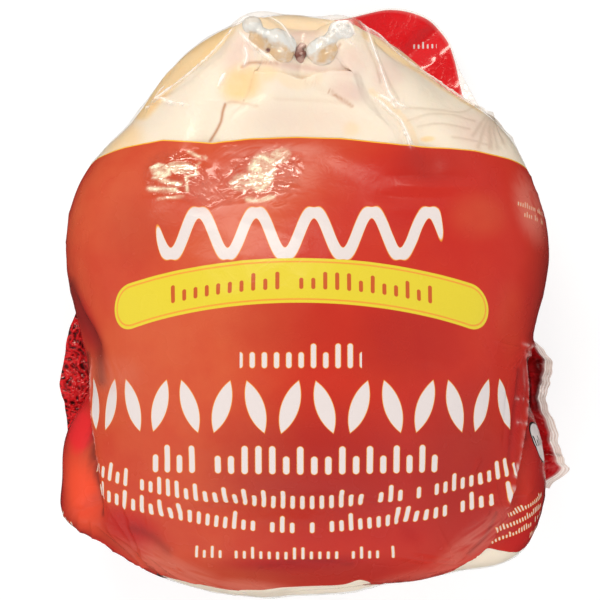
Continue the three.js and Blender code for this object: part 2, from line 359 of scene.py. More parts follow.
def small_folds():
    """Every small wrinkle of the tight film, from its pinches and where it lies loose on the flesh."""
    return [
        *TENSION_LINES,
        *CRESTS,
        *SLACK_WAVES,
        *CORNER_FOLDS,
        *LEFT_PINCH_LINES,
        *SKIN_FOLD_LINES,
        *ARC_WRINKLES,
        *PLEATS,
        *KNOB_LINES,
        *fan((71, 77), (172, 200), 4, 28, 0.3, 0.5, 3),
        *fan((72, 76), (20, 160), 7, 5, 1.3, 0.8, 19),
        *fan((-62, -106), (95, 165), 9, 34, 0.6, 0.9, 4),
        *fan((-88, -73), (235, 300), 8, 22, 0.6, 0.9, 5),
        *fan((64, -103), (150, 200), 6, 26, 0.5, 1.0, 6),
        *fan((78, -82), (20, 150), 8, 14, 0.6, 0.8, 7),
        *fan((86, -17), (185, 260), 6, 11, 0.5, 0.7, 8),
        *strewn((-63, 40), (-43, 59), -8, 18, 26, 10, 0.5, 0.8, 9),
        *strewn((-33, 38), (-5, 62), 14, 18, 46, 9, 0.35, 0.7, 10),
        *strewn((-42, 41), (-32, 54), -58, 12, 10, 9, 0.35, 0.5, 11),
        *strewn((33, 79), (58, 90), 80, 8, 34, 6, 0.3, 0.45, 12),
        *strewn((-80, -60), (80, 30), 175, 30, 22, 30, 0.25, 2.4, 13),
        *strewn((66, -92), (84, -60), 60, 20, 12, 12, 0.5, 1.0, 15),
        *strewn((-16, 98), (20, 110), 20, 50, 26, 6, 0.4, 0.6, 16),
        *strewn((-34, 80), (-24, 104), 105, 16, 12, 9, 0.25, 0.6, 18),
    ]


def ramp(values, low, high):
    """0 up to low, 1 from high on, and smooth between. low may be above high."""
    t = np.clip((values - low) / (high - low), 0, 1)
    return t * t * (3 - 2 * t)


def soft_noise(points, size, seed):
    """Smooth noise from -1 to 1 whose lumps are about size millimetres."""
    shift = Vector((17.3 * seed, -9.1 * seed, 4.7 * seed))
    return np.array([noise.noise(Vector(point) / size + shift) for point in points])


def crinkle(points, size, seed, thin):
    """A web of small ridges, as in film that shrank unevenly: 1 on a ridge, falling off to 0."""
    warp = np.stack([soft_noise(points, 2.5 * size, seed + k) for k in range(3)], 1)
    return np.exp(-np.abs(soft_noise(points + 0.8 * size * warp, size, seed + 5)) / thin)


Patch = namedtuple("Patch", "middle radii turn strength", defaults=[0, 1.0])
# Where the printed film lies loose and crumpled on the flesh: middle and radii in plan.
LOOSE_PATCHES = [
    Patch((-53, 50.5), (11, 9.5), 10),
    Patch((-17, 50.5), (15, 9.5), 12, 0.85),
    Patch((-37, 46), (7, 9), 0, 0.3),
    Patch((-70, -92), (20, 7), -35, 0.4),
    Patch((72, -88), (12, 9), 50, 0.5),
    Patch((-4, -80), (40, 6), 0, 0.25),
]
CRUMPLE_STRETCH = np.array([0.5, 1.2, 1.0])  # the crumples lie mostly across the pack
CRUMPLES = ((0.38, 3.6, 60, CRUMPLE_STRETCH), (0.12, 1.5, 70, 1.0))  # height, size, seed and stretch
UNEVENNESS = ((0.4, 26, 1), (0.14, 9, 2))  # height, size and seed of the film's soft swells
SOFT_EDGE = (1.5, 0.3)  # shares of a patch's radii: none of it past the first, all of it within the second


def in_patches(points, patches, edge=(1.2, 0.75)):
    """0 to 1, as far as points are in any of the patches, which are seen from above."""
    amount = np.zeros(len(points))
    for patch in patches:
        x, y = (points[:, :2] - patch.middle).T
        angle = math.radians(patch.turn)
        along = (x * math.cos(angle) + y * math.sin(angle)) / patch.radii[0]
        across = (y * math.cos(angle) - x * math.sin(angle)) / patch.radii[1]
        amount = np.maximum(amount, patch.strength * ramp(np.hypot(along, across), *edge))
    return amount


def film_relief(points, large, small):
    """All of the relief at points of the plain tight film."""
    upper = ramp(points[:, 2], *FOLDS_FROM)
    sides = 1 - ramp(points[:, 2], *SIDES_UP_TO)
    relief = fold_relief(points, large) + upper * fold_relief(points, small)
    relief += sum(height * soft_noise(points, size, seed) for height, size, seed in UNEVENNESS)
    relief += (0.1 + 0.6 * sides) * crinkle(points, 16, 3, 0.14) - 0.2 * sides
    loose = upper * in_patches(points, LOOSE_PATCHES)
    crumpled = np.flatnonzero(loose > 0.01)
    at = points[crumpled]
    webs = [height * crinkle(at * stretch, size, seed, 0.3) for height, size, seed, stretch in CRUMPLES]
    relief[crumpled] += loose[crumpled] * (sum(webs) - 0.2)
    return relief


def artwork_places(points):
    """Flat places on the printed film: millimetres round the pack from its top line, and along it."""
    step, turn = 3.0, math.radians(3.0)
    stations = np.arange(-114.0, 114.1, step)
    angles = np.arange(-60, 61) * turn
    station, angle = [grid.ravel() for grid in np.meshgrid(stations, angles, indexing="ij")]
    starts = np.column_stack([0 * station, station, np.full(len(station), HEART[2])])
    directions = np.column_stack([np.sin(angle), 0 * angle, np.cos(angle)])
    rings = starts + film_along(starts, directions, 0, 160)[:, None] * directions
    rings[:, 2] = np.maximum(rings[:, 2], 0)
    rings = rings.reshape(len(stations), len(angles), 3)
    steps = np.linalg.norm(np.diff(rings, axis=1), axis=2)
    around = np.hstack([np.zeros((len(stations), 1)), np.cumsum(steps, axis=1)])
    middle = len(angles) // 2
    around -= around[:, middle : middle + 1]
    top = rings[:, middle]
    along = np.append(0, np.cumsum(np.linalg.norm(np.diff(top, axis=0), axis=1)))
    along -= np.interp(0, stations, along)

    y = np.clip(points[:, 1], stations[0], stations[-1])
    bearing = np.arctan2(points[:, 0], points[:, 2] - HEART[2])
    row = np.clip((y - stations[0]) / step, 0, len(stations) - 1.001)
    column = np.clip((bearing - angles[0]) / turn, 0, len(angles) - 1.001)
    i, j = row.astype(int), column.astype(int)
    u, v = row - i, column - j
    round_pack = (1 - u) * ((1 - v) * around[i, j] + v * around[i, j + 1])
    round_pack += u * ((1 - v) * around[i + 1, j] + v * around[i + 1, j + 1])
    return np.column_stack([round_pack, np.interp(y, stations, along)])


# The printed field's two edges over the breast, as places on the flat artwork.
PRINT_TOP = [
    (-130, 48), (-97, 62), (-78, 66), (-59, 68.3), (-38, 66.8), (-22, 68.6), (-3, 69.2), (13, 68.7),
    (36, 66.2), (67, 64.2), (86, 61.5), (104, 57.9), (130, 46),
]
PRINT_BOTTOM = [
    (-130, -125), (-82, -125), (-72, -122), (-66.7, -116.5), (-63, -117.8), (-59.5, -120), (-49.2, -123.1),
    (-37.9, -126.6), (-30.9, -129.2), (-24.5, -128.1), (-17.6, -128.2), (-10.4, -125.2), (-3.4, -124.3),
    (1.9, -123.3), (9.6, -122.8), (15.5, -121.7), (18, -119.9), (20.7, -118), (24.6, -119.8), (29.5, -124),
    (34, -124.3), (40, -127), (50, -127), (62, -122), (68, -108.5), (71.1, -105.1), (74.3, -100.7),
    (80, -102.7), (85.4, -103.8), (93.8, -104.9), (107, -101), (130, -92),
]
BACK_PRINT_HEIGHT = 22.0  # below this the back's print runs on to both ends of the bag


def print_depth(points, artwork):
    """Millimetres from each point into the print, below zero where the film is clear."""
    top = np.interp(artwork[:, 0], *np.array(PRINT_TOP).T) - artwork[:, 1]
    bottom = artwork[:, 1] - np.interp(artwork[:, 0], *np.array(PRINT_BOTTOM).T)
    back = BACK_PRINT_HEIGHT + 3 * soft_noise(points, 40, 7) - points[:, 2]
    return np.maximum(np.minimum(top, bottom), back)


# ---------------------------------------------------------------------------------------------------------
# Working with meshes.


def scale_of_pack():
    """Metres for each standard millimetre, along X, Y and Z."""
    sizes = bpy.context.scene.pack_sizes
    return np.array([sizes.width, sizes.length, sizes.height]) / STANDARD


def select_only(piece):
    bpy.ops.object.select_all(action="DESELECT")
    piece.select_set(True)
    bpy.context.view_layer.objects.active = piece


def points_of(piece):
    """A mesh's points, in millimetres of the standard pack."""
    flat = np.empty(len(piece.data.vertices) * 3)
    piece.data.vertices.foreach_get("co", flat)
    return flat.reshape(-1, 3) / scale_of_pack()


def move_points(piece, points):
    piece.data.vertices.foreach_set("co", (points * scale_of_pack()).ravel())
    piece.data.update()


def take_new(name):
    """Names the object that an operator has just added, and sets it down at the origin."""
    bpy.ops.object.transform_apply(location=True, rotation=True, scale=True)
    piece = bpy.context.object
    piece.name = name
    piece.data.name = name
    return piece


def join_as(pieces, name):
    bpy.ops.object.select_all(action="DESELECT")
    for piece in pieces:
        piece.select_set(True)
    bpy.context.view_layer.objects.active = pieces[0]
    bpy.ops.object.join()
    return take_new(name)


def apply_modifier(piece, kind, **settings):
    modifier = piece.modifiers.new(kind.title(), kind)
    for key, value in settings.items():
        setattr(modifier, key, value)
    select_only(piece)
    bpy.ops.object.modifier_apply(modifier=modifier.name)


def split_faces(piece, wanted):
    """Cuts in four the faces whose middles the test wants. It is asked in millimetres."""
    centres = np.empty(len(piece.data.polygons) * 3)
    piece.data.polygons.foreach_get("center", centres)
    chosen = wanted(centres.reshape(-1, 3) / scale_of_pack())
    select_only(piece)
    bpy.ops.object.mode_set(mode="EDIT")
    bpy.ops.mesh.select_mode(type="FACE")
    bpy.ops.mesh.select_all(action="DESELECT")
    bpy.ops.object.mode_set(mode="OBJECT")
    piece.data.polygons.foreach_set("select", chosen)
    bpy.ops.object.mode_set(mode="EDIT")
    bpy.ops.mesh.subdivide(number_cuts=1)
    bpy.ops.object.mode_set(mode="OBJECT")


def store(piece, name, values):
    """Keeps one number for each point of the mesh, for its material."""
    attribute = piece.data.attributes.new(name, "FLOAT", "POINT")
    attribute.data.foreach_set("value", np.asarray(values, np.float32))


def store_artwork(piece, places):
    """Writes flat artwork places, in millimetres, as the mesh's UV map."""
    while piece.data.uv_layers:
        piece.data.uv_layers.remove(piece.data.uv_layers[0])
    layer = piece.data.uv_layers.new(name="Artwork")
    corners = np.empty(len(piece.data.loops), int)
    piece.data.loops.foreach_get("vertex_index", corners)
    layer.data.foreach_set("uv", places[corners].astype(np.float32).ravel())


def finish_piece(piece, material):
    select_only(piece)
    bpy.ops.object.shade_smooth()
    piece.data.materials.clear()
    piece.data.materials.append(material)
    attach(piece, "root")


def ball(middle, radii, turn=0.0, rings=32):
    """A ball stretched to three radii, in millimetres, and turned about Z in degrees."""
    scale = scale_of_pack()
    bpy.ops.object.select_all(action="DESELECT")
    bpy.ops.mesh.primitive_uv_sphere_add(
        segments=2 * rings, ring_count=rings, radius=1, location=middle * scale
    )
    piece = bpy.context.object
    piece.scale = np.array(radii) * scale
    piece.rotation_euler = (0, 0, math.radians(turn))
    return take_new("form")


def tapered_rod(start, end, start_radius, end_radius):
    """A rod with round ends, in millimetres, as three forms."""
    scale = scale_of_pack()
    along = Vector((end - start) * scale)
    turn = along.to_track_quat("Z", "Y").to_euler()
    radii = {"radius1": start_radius * scale[0], "radius2": end_radius * scale[0]}
    middle = (start + end) / 2 * scale
    bpy.ops.object.select_all(action="DESELECT")
    bpy.ops.mesh.primitive_cone_add(vertices=48, depth=along.length, location=middle, rotation=turn, **radii)
    rod = take_new("form")
    return [rod, ball(start, [start_radius] * 3), ball(end, [end_radius] * 3)]


# ---------------------------------------------------------------------------------------------------------
# Shader nodes.


class Nodes:
    """Adds nodes to one tree and links them. A value that is a socket is linked, and any other is set."""

    def __init__(self, tree):
        self.tree = tree

    def add(self, kind, values=(), out=0, **settings):
        node = self.tree.nodes.new("ShaderNode" + kind)
        for key, value in settings.items():
            setattr(node, key, value)
        for key, value in values.items() if isinstance(values, dict) else enumerate(values):
            self.feed(node.inputs[key], value)
        return node.outputs[out]

    def feed(self, socket, value):
        if isinstance(value, bpy.types.NodeSocket):
            self.tree.links.new(value, socket)
        elif value is not None:
            socket.default_value = value

    def math(self, operation, a, b=None, c=None):
        return self.add("Math", [a, b, c], operation=operation)

    def both(self, a, b):
        return self.math("MULTIPLY", a, b)

    def mix(self, factor, a, b):
        """A mix of two colours."""
        return self.add("Mix", {0: factor, 6: a, 7: b}, out=2, data_type="RGBA")

    def blend(self, factor, a, b):
        """A mix of two shaders."""
        return self.add("MixShader", [factor, a, b])

    def step(self, value, low, high, start=0.0, end=1.0):
        """start where value is at or past low, and end where it is at or past high."""
        return self.add("MapRange", [value, low, high, start, end])

    def noise(self, vector, scale, detail=2.0, roughness=0.5, distortion=0.0):
        values = {"Vector": vector, "Scale": scale, "Detail": detail, "Roughness": roughness}
        return self.add("TexNoise", {**values, "Distortion": distortion})

    def parts(self, vector):
        """A vector's X, Y and Z."""
        node = self.tree.nodes.new("ShaderNodeSeparateXYZ")
        self.feed(node.inputs[0], vector)
        return node.outputs

    def attribute(self, name):
        return self.add("Attribute", out="Fac", attribute_name=name)

    def bump(self, height, strength, distance):
        return self.add("Bump", {"Height": height, "Strength": strength, "Distance": distance})

    def principled(self, **values):
        """A Principled shader. Each name is its socket's, with underscores for spaces."""
        return self.add("BsdfPrincipled", {key.replace("_", " "): value for key, value in values.items()})

    def use(self, group, **values):
        """The output of a node group. Each name is its socket's, with underscores for spaces."""
        node = self.tree.nodes.new("ShaderNodeGroup")
        node.node_tree = group
        for key, value in values.items():
            self.feed(node.inputs[key.replace("_", " ")], value)
        return node.outputs[0]


def tint(name):
    """One of the panel's colours, as a shader takes it."""
    return (*getattr(bpy.context.scene.pack_colours, name), 1)


def shader_group(name, output, build, **inputs):
    """A node group with one output. inputs are the defaults of its inputs, None for a vector, with
    underscores for spaces. build gets the nodes and the inputs.
    """
    if name in bpy.data.node_groups:
        return bpy.data.node_groups[name]
    group = bpy.data.node_groups.new(name, "ShaderNodeTree")
    for key, default in inputs.items():
        kind = "NodeSocketVector" if default is None else "NodeSocketFloat"
        socket = group.interface.new_socket(name=key.replace("_", " "), in_out="INPUT", socket_type=kind)
        if default is not None:
            socket.default_value = default
    group.interface.new_socket(name=output, in_out="OUTPUT", socket_type="NodeSocketFloat")
    source = group.nodes.new("NodeGroupInput")
    target = group.nodes.new("NodeGroupOutput")
    group.links.new(build(Nodes(group), source.outputs), target.inputs[output])
    return group


def along_arch(nodes, source):
    """For a place on the artwork: X, X from the line's middle, Y from the line, and X past its ends."""
    x, y, _ = nodes.parts(source["Place"])
    middle = nodes.math("MULTIPLY", nodes.math("ADD", source["From"], source["To"]), 0.5)
    half = nodes.math("MULTIPLY", nodes.math("SUBTRACT", source["To"], source["From"]), 0.5)
    offset = nodes.math("SUBTRACT", x, middle)
    share = nodes.math("DIVIDE", offset, half)
    arch = nodes.both(source["Rise"], nodes.math("SUBTRACT", 1.0, nodes.both(share, share)))
    side = nodes.math("SUBTRACT", y, nodes.math("ADD", source["Height"], arch))
    past = nodes.math("SUBTRACT", nodes.math("ABSOLUTE", offset), half)
    return x, offset, side, past


def length_of(nodes, a, b):
    return nodes.math("SQRT", nodes.math("ADD", nodes.both(a, a), nodes.both(b, b)))


def cell_of(nodes, x, pitch):
    """Which cell of a row x is in, and how far it is from the cell's middle."""
    ratio = nodes.math("DIVIDE", x, pitch)
    cell = nodes.math("FLOOR", ratio)
    share = nodes.math("SUBTRACT", nodes.math("SUBTRACT", ratio, cell), 0.5)
    return cell, nodes.both(share, pitch)


FAR = 99.0  # added to the distance where a row prints nothing


def row_of_marks():
    """A row of upright rounded marks of two heights, with gaps, along an arched line."""
    def build(nodes, source):
        x, _, side, past = along_arch(nodes, source)
        cell, across = cell_of(nodes, x, source["Pitch"])
        key = nodes.math("ADD", cell, source["Seed"])
        draw = nodes.add("TexWhiteNoise", {"W": key}, noise_dimensions="1D")
        other = nodes.add("TexWhiteNoise", {"W": nodes.math("ADD", key, 0.37)}, noise_dimensions="1D")
        tall = nodes.math("GREATER_THAN", draw, 0.55)
        height = nodes.both(source["Half height"], nodes.math("MULTIPLY_ADD", tall, 0.36, 0.64))
        lowered = nodes.math("ADD", side, nodes.math("SUBTRACT", source["Half height"], height))
        straight = nodes.math("SUBTRACT", height, source["Half stroke"])
        up = nodes.math("MAXIMUM", nodes.math("SUBTRACT", nodes.math("ABSOLUTE", lowered), straight), 0.0)
        distance = nodes.math("SUBTRACT", length_of(nodes, across, up), source["Half stroke"])
        left_out = nodes.math("LESS_THAN", other, source["Gaps"])
        beyond = nodes.math("GREATER_THAN", past, 0.0)
        return nodes.math("MULTIPLY_ADD", nodes.math("MAXIMUM", left_out, beyond), FAR, distance)

    return shader_group(
        "row of marks", "Distance", build, Place=None, Height=0.0, Rise=0.0, From=-50.0, To=50.0, Pitch=4.0,
        Half_stroke=1.0, Half_height=4.0, Gaps=0.15, Seed=0.0,
    )


def row_of_leaves():
    """A row of pointed leaves that lean to one side and the other in turn."""
    def build(nodes, source):
        x, _, side, past = along_arch(nodes, source)
        cell, across = cell_of(nodes, x, source["Pitch"])
        half_cell = nodes.math("MULTIPLY", cell, 0.5)
        odd = nodes.math("SUBTRACT", half_cell, nodes.math("FLOOR", half_cell))
        lean = nodes.both(source["Lean"], nodes.math("MULTIPLY_ADD", odd, 4.0, -1.0))
        cosine, sine = nodes.math("COSINE", lean), nodes.math("SINE", lean)
        over = nodes.math("SUBTRACT", nodes.both(across, cosine), nodes.both(side, sine))
        up = nodes.math("ADD", nodes.both(side, cosine), nodes.both(across, sine))
        width, length = source["Half width"], source["Half length"]
        squares = nodes.math("ADD", nodes.both(width, width), nodes.both(length, length))
        radius = nodes.math("DIVIDE", squares, nodes.math("MULTIPLY", width, 2.0))
        moved = nodes.math("ADD", nodes.math("ABSOLUTE", over), nodes.math("SUBTRACT", radius, width))
        distance = nodes.math("SUBTRACT", length_of(nodes, moved, up), radius)
        return nodes.math("MULTIPLY_ADD", nodes.math("GREATER_THAN", past, 0.0), FAR, distance)

    return shader_group(
        "row of leaves", "Distance", build, Place=None, Height=0.0, Rise=0.0, From=-50.0, To=50.0, Pitch=14.0,
        Half_length=10.0, Half_width=3.0, Lean=0.3,
    )


def arched_stroke():
    """A stroke with round ends along an arched line, straight or waved."""
    def build(nodes, source):
        _, offset, side, past = along_arch(nodes, source)
        turns = nodes.math("DIVIDE", math.tau, source["Wave length"])
        phase = nodes.both(offset, turns)
        waved = nodes.math("SUBTRACT", side, nodes.both(source["Wave"], nodes.math("SINE", phase)))
        slope = nodes.both(nodes.both(nodes.math("COSINE", phase), turns), source["Wave"])
        lean = nodes.math("SQRT", nodes.math("MULTIPLY_ADD", slope, slope, 1.0))
        across = nodes.math("DIVIDE", waved, lean)
        beyond = nodes.math("MAXIMUM", nodes.math("ADD", past, source["Half stroke"]), 0.0)
        return nodes.math("SUBTRACT", length_of(nodes, across, beyond), source["Half stroke"])

    return shader_group(
        "arched stroke", "Distance", build, Place=None, Height=0.0, Rise=0.0, From=-50.0, To=50.0,
        Half_stroke=1.0, Wave=0.0, Wave_length=20.0,
    )


def blotches():
    """Uneven soft patches of two sizes, as fat and blood show through skin or skin through ink."""
    def build(nodes, source):
        large = nodes.noise(source["Place"], source["Scale"], 2.0, 0.5, 0.6)
        small = nodes.noise(source["Place"], nodes.math("MULTIPLY", source["Scale"], 4.3), 3.0, 0.6)
        amount = nodes.math("MULTIPLY_ADD", small, 0.35, nodes.math("MULTIPLY", large, 0.65))
        return nodes.step(amount, source["Low"], source["High"])

    return shader_group("blotches", "Amount", build, Place=None, Scale=40.0, Low=0.4, High=0.6)


def fine_wrinkles():
    """Thin ridges a millimetre or two apart, running mostly one way, for a bump's height."""
    def build(nodes, source):
        bent = nodes.noise(source["Place"], nodes.math("MULTIPLY", source["Scale"], 0.15), 1.0, 0.5, 1.5)
        ridged = nodes.noise(source["Place"], source["Scale"], 2.0, 0.55, 1.2)
        ridge = nodes.math("ABSOLUTE", nodes.math("MULTIPLY_ADD", ridged, 2.0, -1.0))
        crest = nodes.math("POWER", nodes.math("SUBTRACT", 1.0, ridge), source["Sharpness"])
        return nodes.math("MULTIPLY_ADD", bent, 0.8, crest)

    return shader_group("fine wrinkles", "Height", build, Place=None, Scale=200.0, Sharpness=5.0)


def new_material(name):
    material = bpy.data.materials.new(name)
    material.use_nodes = True
    material.node_tree.nodes.clear()
    return material, Nodes(material.node_tree)


def put_out(nodes, surface):
    nodes.feed(nodes.tree.nodes.new("ShaderNodeOutputMaterial").inputs["Surface"], surface)


Row = namedtuple("Row", "height rise start end pitch stroke tall gaps")
# White rows on the artwork, in millimetres.
MAIN_ROWS = [
    Row(-19.8, 0, -26, 21, 4.7, 0.95, 4.6, 0.0),
    Row(-60.7, 0, -64, 53, 5.4, 1.15, 5.6, 0.12),
    Row(-63.8, -13.5, -95, 88, 3.9, 0.8, 3.7, 0.16),
    Row(-73.3, -14.6, -93, 88, 3.9, 0.8, 3.8, 0.16),
    Row(-101.9, 0, -47, 36, 3.3, 0.5, 3.0, 0.14),
]
# Small rows at both right corners, each set turned by an angle in degrees.
CORNER_ROWS = {
    -12.0: [Row(59.4, 0, 76.5, 100, 1.5, 0.26, 1.15, 0.15), Row(55.4, 0, 81, 98, 1.5, 0.26, 1.15, 0.15)],
    18.5: [
        Row(-107.2, 0, 52, 77.5, 1.7, 0.3, 1.3, 0.12),
        Row(-111.8, 0, 44, 77, 1.7, 0.3, 1.3, 0.12),
        Row(-116.4, 0, 41, 76, 1.7, 0.3, 1.3, 0.12),
        Row(-122.5, 0, 62, 74, 1.7, 0.3, 1.3, 0.12),
    ],
    -40.0: [Row(-138.5, 0, -33, -22, 2.4, 0.45, 1.8, 0.0)],
}
TAIL_ROWS = [Row(107.6, 0, 43.5, 54, 1.9, 0.35, 1.5, 0.1), Row(101.5, 0, 42.6, 46, 5.0, 0.7, 2.3, 0.0)]
BAND = {"Height": -3.4, "Rise": 12.8, "From": -80.0, "To": 74.0, "Half_stroke": 8.8}
BAND_OUTLINE = (-1.1, -1.7)  # the outer and inner side of the line round it, from its edge
BAND_ROW = Row(3.2, 6.2, -56, 51, 4.6, 0.8, 3.5, 0.14)
TITLE_WAVE = {"Height": 28.6, "From": -59.0, "To": 53.0, "Half_stroke": 2.3, "Wave": 8.5, "Wave_length": 22.4}
LEAF_ROW = {
    "Height": -39.6, "From": -108.0, "To": 91.0, "Pitch": 13.27, "Half_length": 10.6, "Half_width": 3.3,
    "Lean": 0.32,
}
ROUNDEL = (115.8, -56.0, 8.6)  # middle and radius on the artwork
ROUNDEL_ROW = Row(-55.2, 0, 107, 122, 2.4, 0.5, 2.2, 0.1)
ROUNDEL_INK, ROUNDEL_LINE = (0.008, 0.007, 0.007, 1), 0.8  # its dark ink, and how wide its outline is
MARKS_OUTLINE = 0.25  # the line round the white marks
LINE_BLUR = 0.12  # half the width over which a printed edge changes colour
CLEAR = (0.995, 0.99, 0.98, 1)  # the light that clear film lets through
CLEAR_SHADED = (0.7, 0.64, 0.58, 1)  # the same in a crease, darker as painted shade


def row_distance(nodes, flat, row, seed):
    return nodes.use(
        row_of_marks(), Place=flat, Height=row.height, Rise=row.rise, From=row.start, To=row.end,
        Pitch=row.pitch, Half_stroke=row.stroke, Half_height=row.tall, Gaps=row.gaps, Seed=float(seed),
    )


def inside(nodes, distance, edge=0.0):
    """1 inside a printed shape, and 0 outside it."""
    return nodes.step(distance, edge + LINE_BLUR, edge - LINE_BLUR)


def printed_artwork(nodes, flat, ink):
    """The ink with the band, the waves, leaves and rows of marks printed on it."""
    rows = [row_distance(nodes, flat, row, 11 * k) for k, row in enumerate(MAIN_ROWS)]
    for angle, corner in CORNER_ROWS.items():
        turned = nodes.add("Mapping", {"Vector": flat, "Rotation": (0, 0, -math.radians(angle))})
        rows += [row_distance(nodes, turned, row, 7 * k + angle) for k, row in enumerate(corner)]
    rows.append(nodes.use(arched_stroke(), Place=flat, **TITLE_WAVE))
    rows.append(nodes.use(row_of_leaves(), Place=flat, **LEAF_ROW))
    white = rows[0]
    for distance in rows[1:]:
        white = nodes.math("MINIMUM", white, distance)
    band = nodes.use(arched_stroke(), Place=flat, **BAND)
    outer, inner = [inside(nodes, band, edge) for edge in BAND_OUTLINE]
    outline = nodes.both(outer, nodes.math("SUBTRACT", 1.0, inner))
    x, y, radius = ROUNDEL
    from_roundel = nodes.add("VectorMath", [flat, (x, y, 0.0)], out="Value", operation="DISTANCE")
    layers = (  # from the lowest up
        (inside(nodes, white, MARKS_OUTLINE), tint("band_line")),
        (inside(nodes, white), tint("marks")),
        (inside(nodes, band), tint("band")),
        (outline, tint("band_line")),
        (inside(nodes, row_distance(nodes, flat, BAND_ROW, 5)), tint("band_marks")),
        (inside(nodes, from_roundel, radius), ROUNDEL_INK),
        (inside(nodes, from_roundel, radius - ROUNDEL_LINE), tint("marks")),
        (inside(nodes, row_distance(nodes, flat, ROUNDEL_ROW, 3)), ROUNDEL_INK),
    )
    for amount, colour in layers:
        ink = nodes.mix(amount, ink, colour)
    return ink


def tail_artwork(nodes, flat, ink):
    """The loose ink with a few white marks on it."""
    marks = [row_distance(nodes, flat, row, 4 * k) for k, row in enumerate(TAIL_ROWS)]
    return nodes.mix(inside(nodes, nodes.math("MINIMUM", *marks)), ink, tint("marks"))


STREAK_STRETCH = (4.0, 0.055)  # how far a place is stretched outward, and round the pack, for the streaks


def round_the_pack(nodes, place):
    """A place in which a pattern's lumps are drawn out into streaks that run round the pack."""
    x, y, _ = nodes.parts(place)
    outward, around = STREAK_STRETCH
    turned = nodes.math("MULTIPLY", nodes.math("ARCTAN2", y, x), around)
    return nodes.add("CombineXYZ", [nodes.math("MULTIPLY", length_of(nodes, x, y), outward), turned])


def film_material():
    """Shrink film: glossy ink where it is printed, with painted shade, sheen and highlights, and elsewhere
    clear, with painted highlights along its tightest wrinkles and painted shade in its creases.
    """
    if "printed film" in bpy.data.materials:
        return bpy.data.materials["printed film"]
    material, nodes = new_material("printed film")
    place = nodes.add("TexCoord", out="Object")
    flat = nodes.add("UVMap", uv_map="Artwork")
    depth = nodes.attribute("print_depth")

    show_through = nodes.use(blotches(), Place=place, Scale=30.0, Low=0.36, High=0.64)
    warmth = nodes.both(nodes.attribute("cling"), nodes.step(show_through, 0.0, 1.0, 0.62, 1.0))
    ink = nodes.mix(warmth, tint("ink_deep"), tint("ink_warm"))
    ink = nodes.mix(nodes.both(nodes.attribute("pale"), warmth), ink, tint("ink_pale"))
    ink = nodes.mix(nodes.attribute("front"), tint("ink_free"), ink)
    ink = nodes.mix(nodes.attribute("bright"), ink, tint("ink_bright"))
    # Painted shade: the ink darkened in valleys, beside crests and on the dim lower and right sides.
    ink = nodes.mix(nodes.attribute("shade"), ink, tint("ink_shade"))
    art = nodes.mix(nodes.attribute("front"), ink, printed_artwork(nodes, flat, ink))
    art = nodes.mix(nodes.attribute("marked"), art, tail_artwork(nodes, flat, ink))
    # Painted sheen over the ink, drawn out into streaks round the pack.
    streaks = nodes.use(fine_wrinkles(), Place=round_the_pack(nodes, place), Scale=70.0, Sharpness=2.0)
    veil = nodes.both(nodes.attribute("veil"), nodes.step(streaks, 0.5, 1.2, 0.1, 1.4))
    art = nodes.mix(veil, art, tint("ink_sheen"))
    # Painted highlights on the crumpled film, broken into grains.
    grains = nodes.step(nodes.noise(place, 900.0, 3.0, 0.7), 0.36, 0.56, 0.45, 1.0)
    art = nodes.mix(nodes.both(nodes.attribute("glare"), grains), art, tint("glare"))
    leg_end = nodes.both(nodes.attribute("front"), nodes.step(nodes.parts(flat)[1], 0.0, 10.0))
    art = nodes.mix(nodes.both(nodes.step(depth, 0.55, 0.35), leg_end), art, tint("print_edge"))
    # Milky film, and painted highlights along the tightest lines.
    art = nodes.mix(nodes.math("MULTIPLY", nodes.attribute("haze"), 0.55), art, tint("haze"))

    wrinkles = nodes.use(fine_wrinkles(), Place=place, Scale=170.0, Sharpness=6.0)
    loose = nodes.step(nodes.attribute("slack"), 0.0, 1.0, 0.1, 1.0)
    normal = nodes.bump(nodes.both(wrinkles, loose), 0.35, 0.0006)
    grain = nodes.step(nodes.noise(place, 60.0, 3.0), 0.3, 0.7, 0.22, 0.3)
    roughness = nodes.math("MULTIPLY_ADD", nodes.attribute("slack"), -0.08, grain)
    printed = nodes.principled(
        Base_Color=art, Roughness=roughness, IOR=1.3, Normal=normal, Coat_Roughness=0.12, Coat_IOR=1.9,
        Coat_Weight=nodes.math("MULTIPLY", nodes.attribute("slack"), 0.8),
    )

    # Painted shade: the clear film lets less light through along its creases, and along the pressed lines of
    # the seal.
    creased = nodes.attribute("crease")
    see_through = nodes.add("BsdfTransparent", [nodes.mix(creased, CLEAR, CLEAR_SHADED)])
    # The milky film is darkened along the tight film's creases as painted shade and along the pressed seal
    # lines, and glows a little as painted light.
    folded = nodes.mix(nodes.math("MULTIPLY", creased, 0.6), tint("haze"), tint("seam"))
    milky_with_painted_glow = nodes.principled(
        Base_Color=folded, Roughness=0.35, Normal=normal, Emission_Color=tint("haze"), Emission_Strength=0.22
    )
    mirror = nodes.add("BsdfAnisotropic", {"Color": (1, 1, 1, 1), "Roughness": 0.12, "Normal": normal})
    clear = nodes.blend(nodes.attribute("haze"), see_through, milky_with_painted_glow)
    facing = nodes.add("LayerWeight", {"Blend": 0.5, "Normal": normal}, out="Facing")
    reflected = nodes.math("MULTIPLY_ADD", nodes.math("POWER", facing, 4.0), 0.2, 0.015)
    clear = nodes.blend(reflected, clear, mirror)
    put_out(nodes, nodes.blend(nodes.step(depth, -LINE_BLUR, LINE_BLUR), clear, printed))
    return material


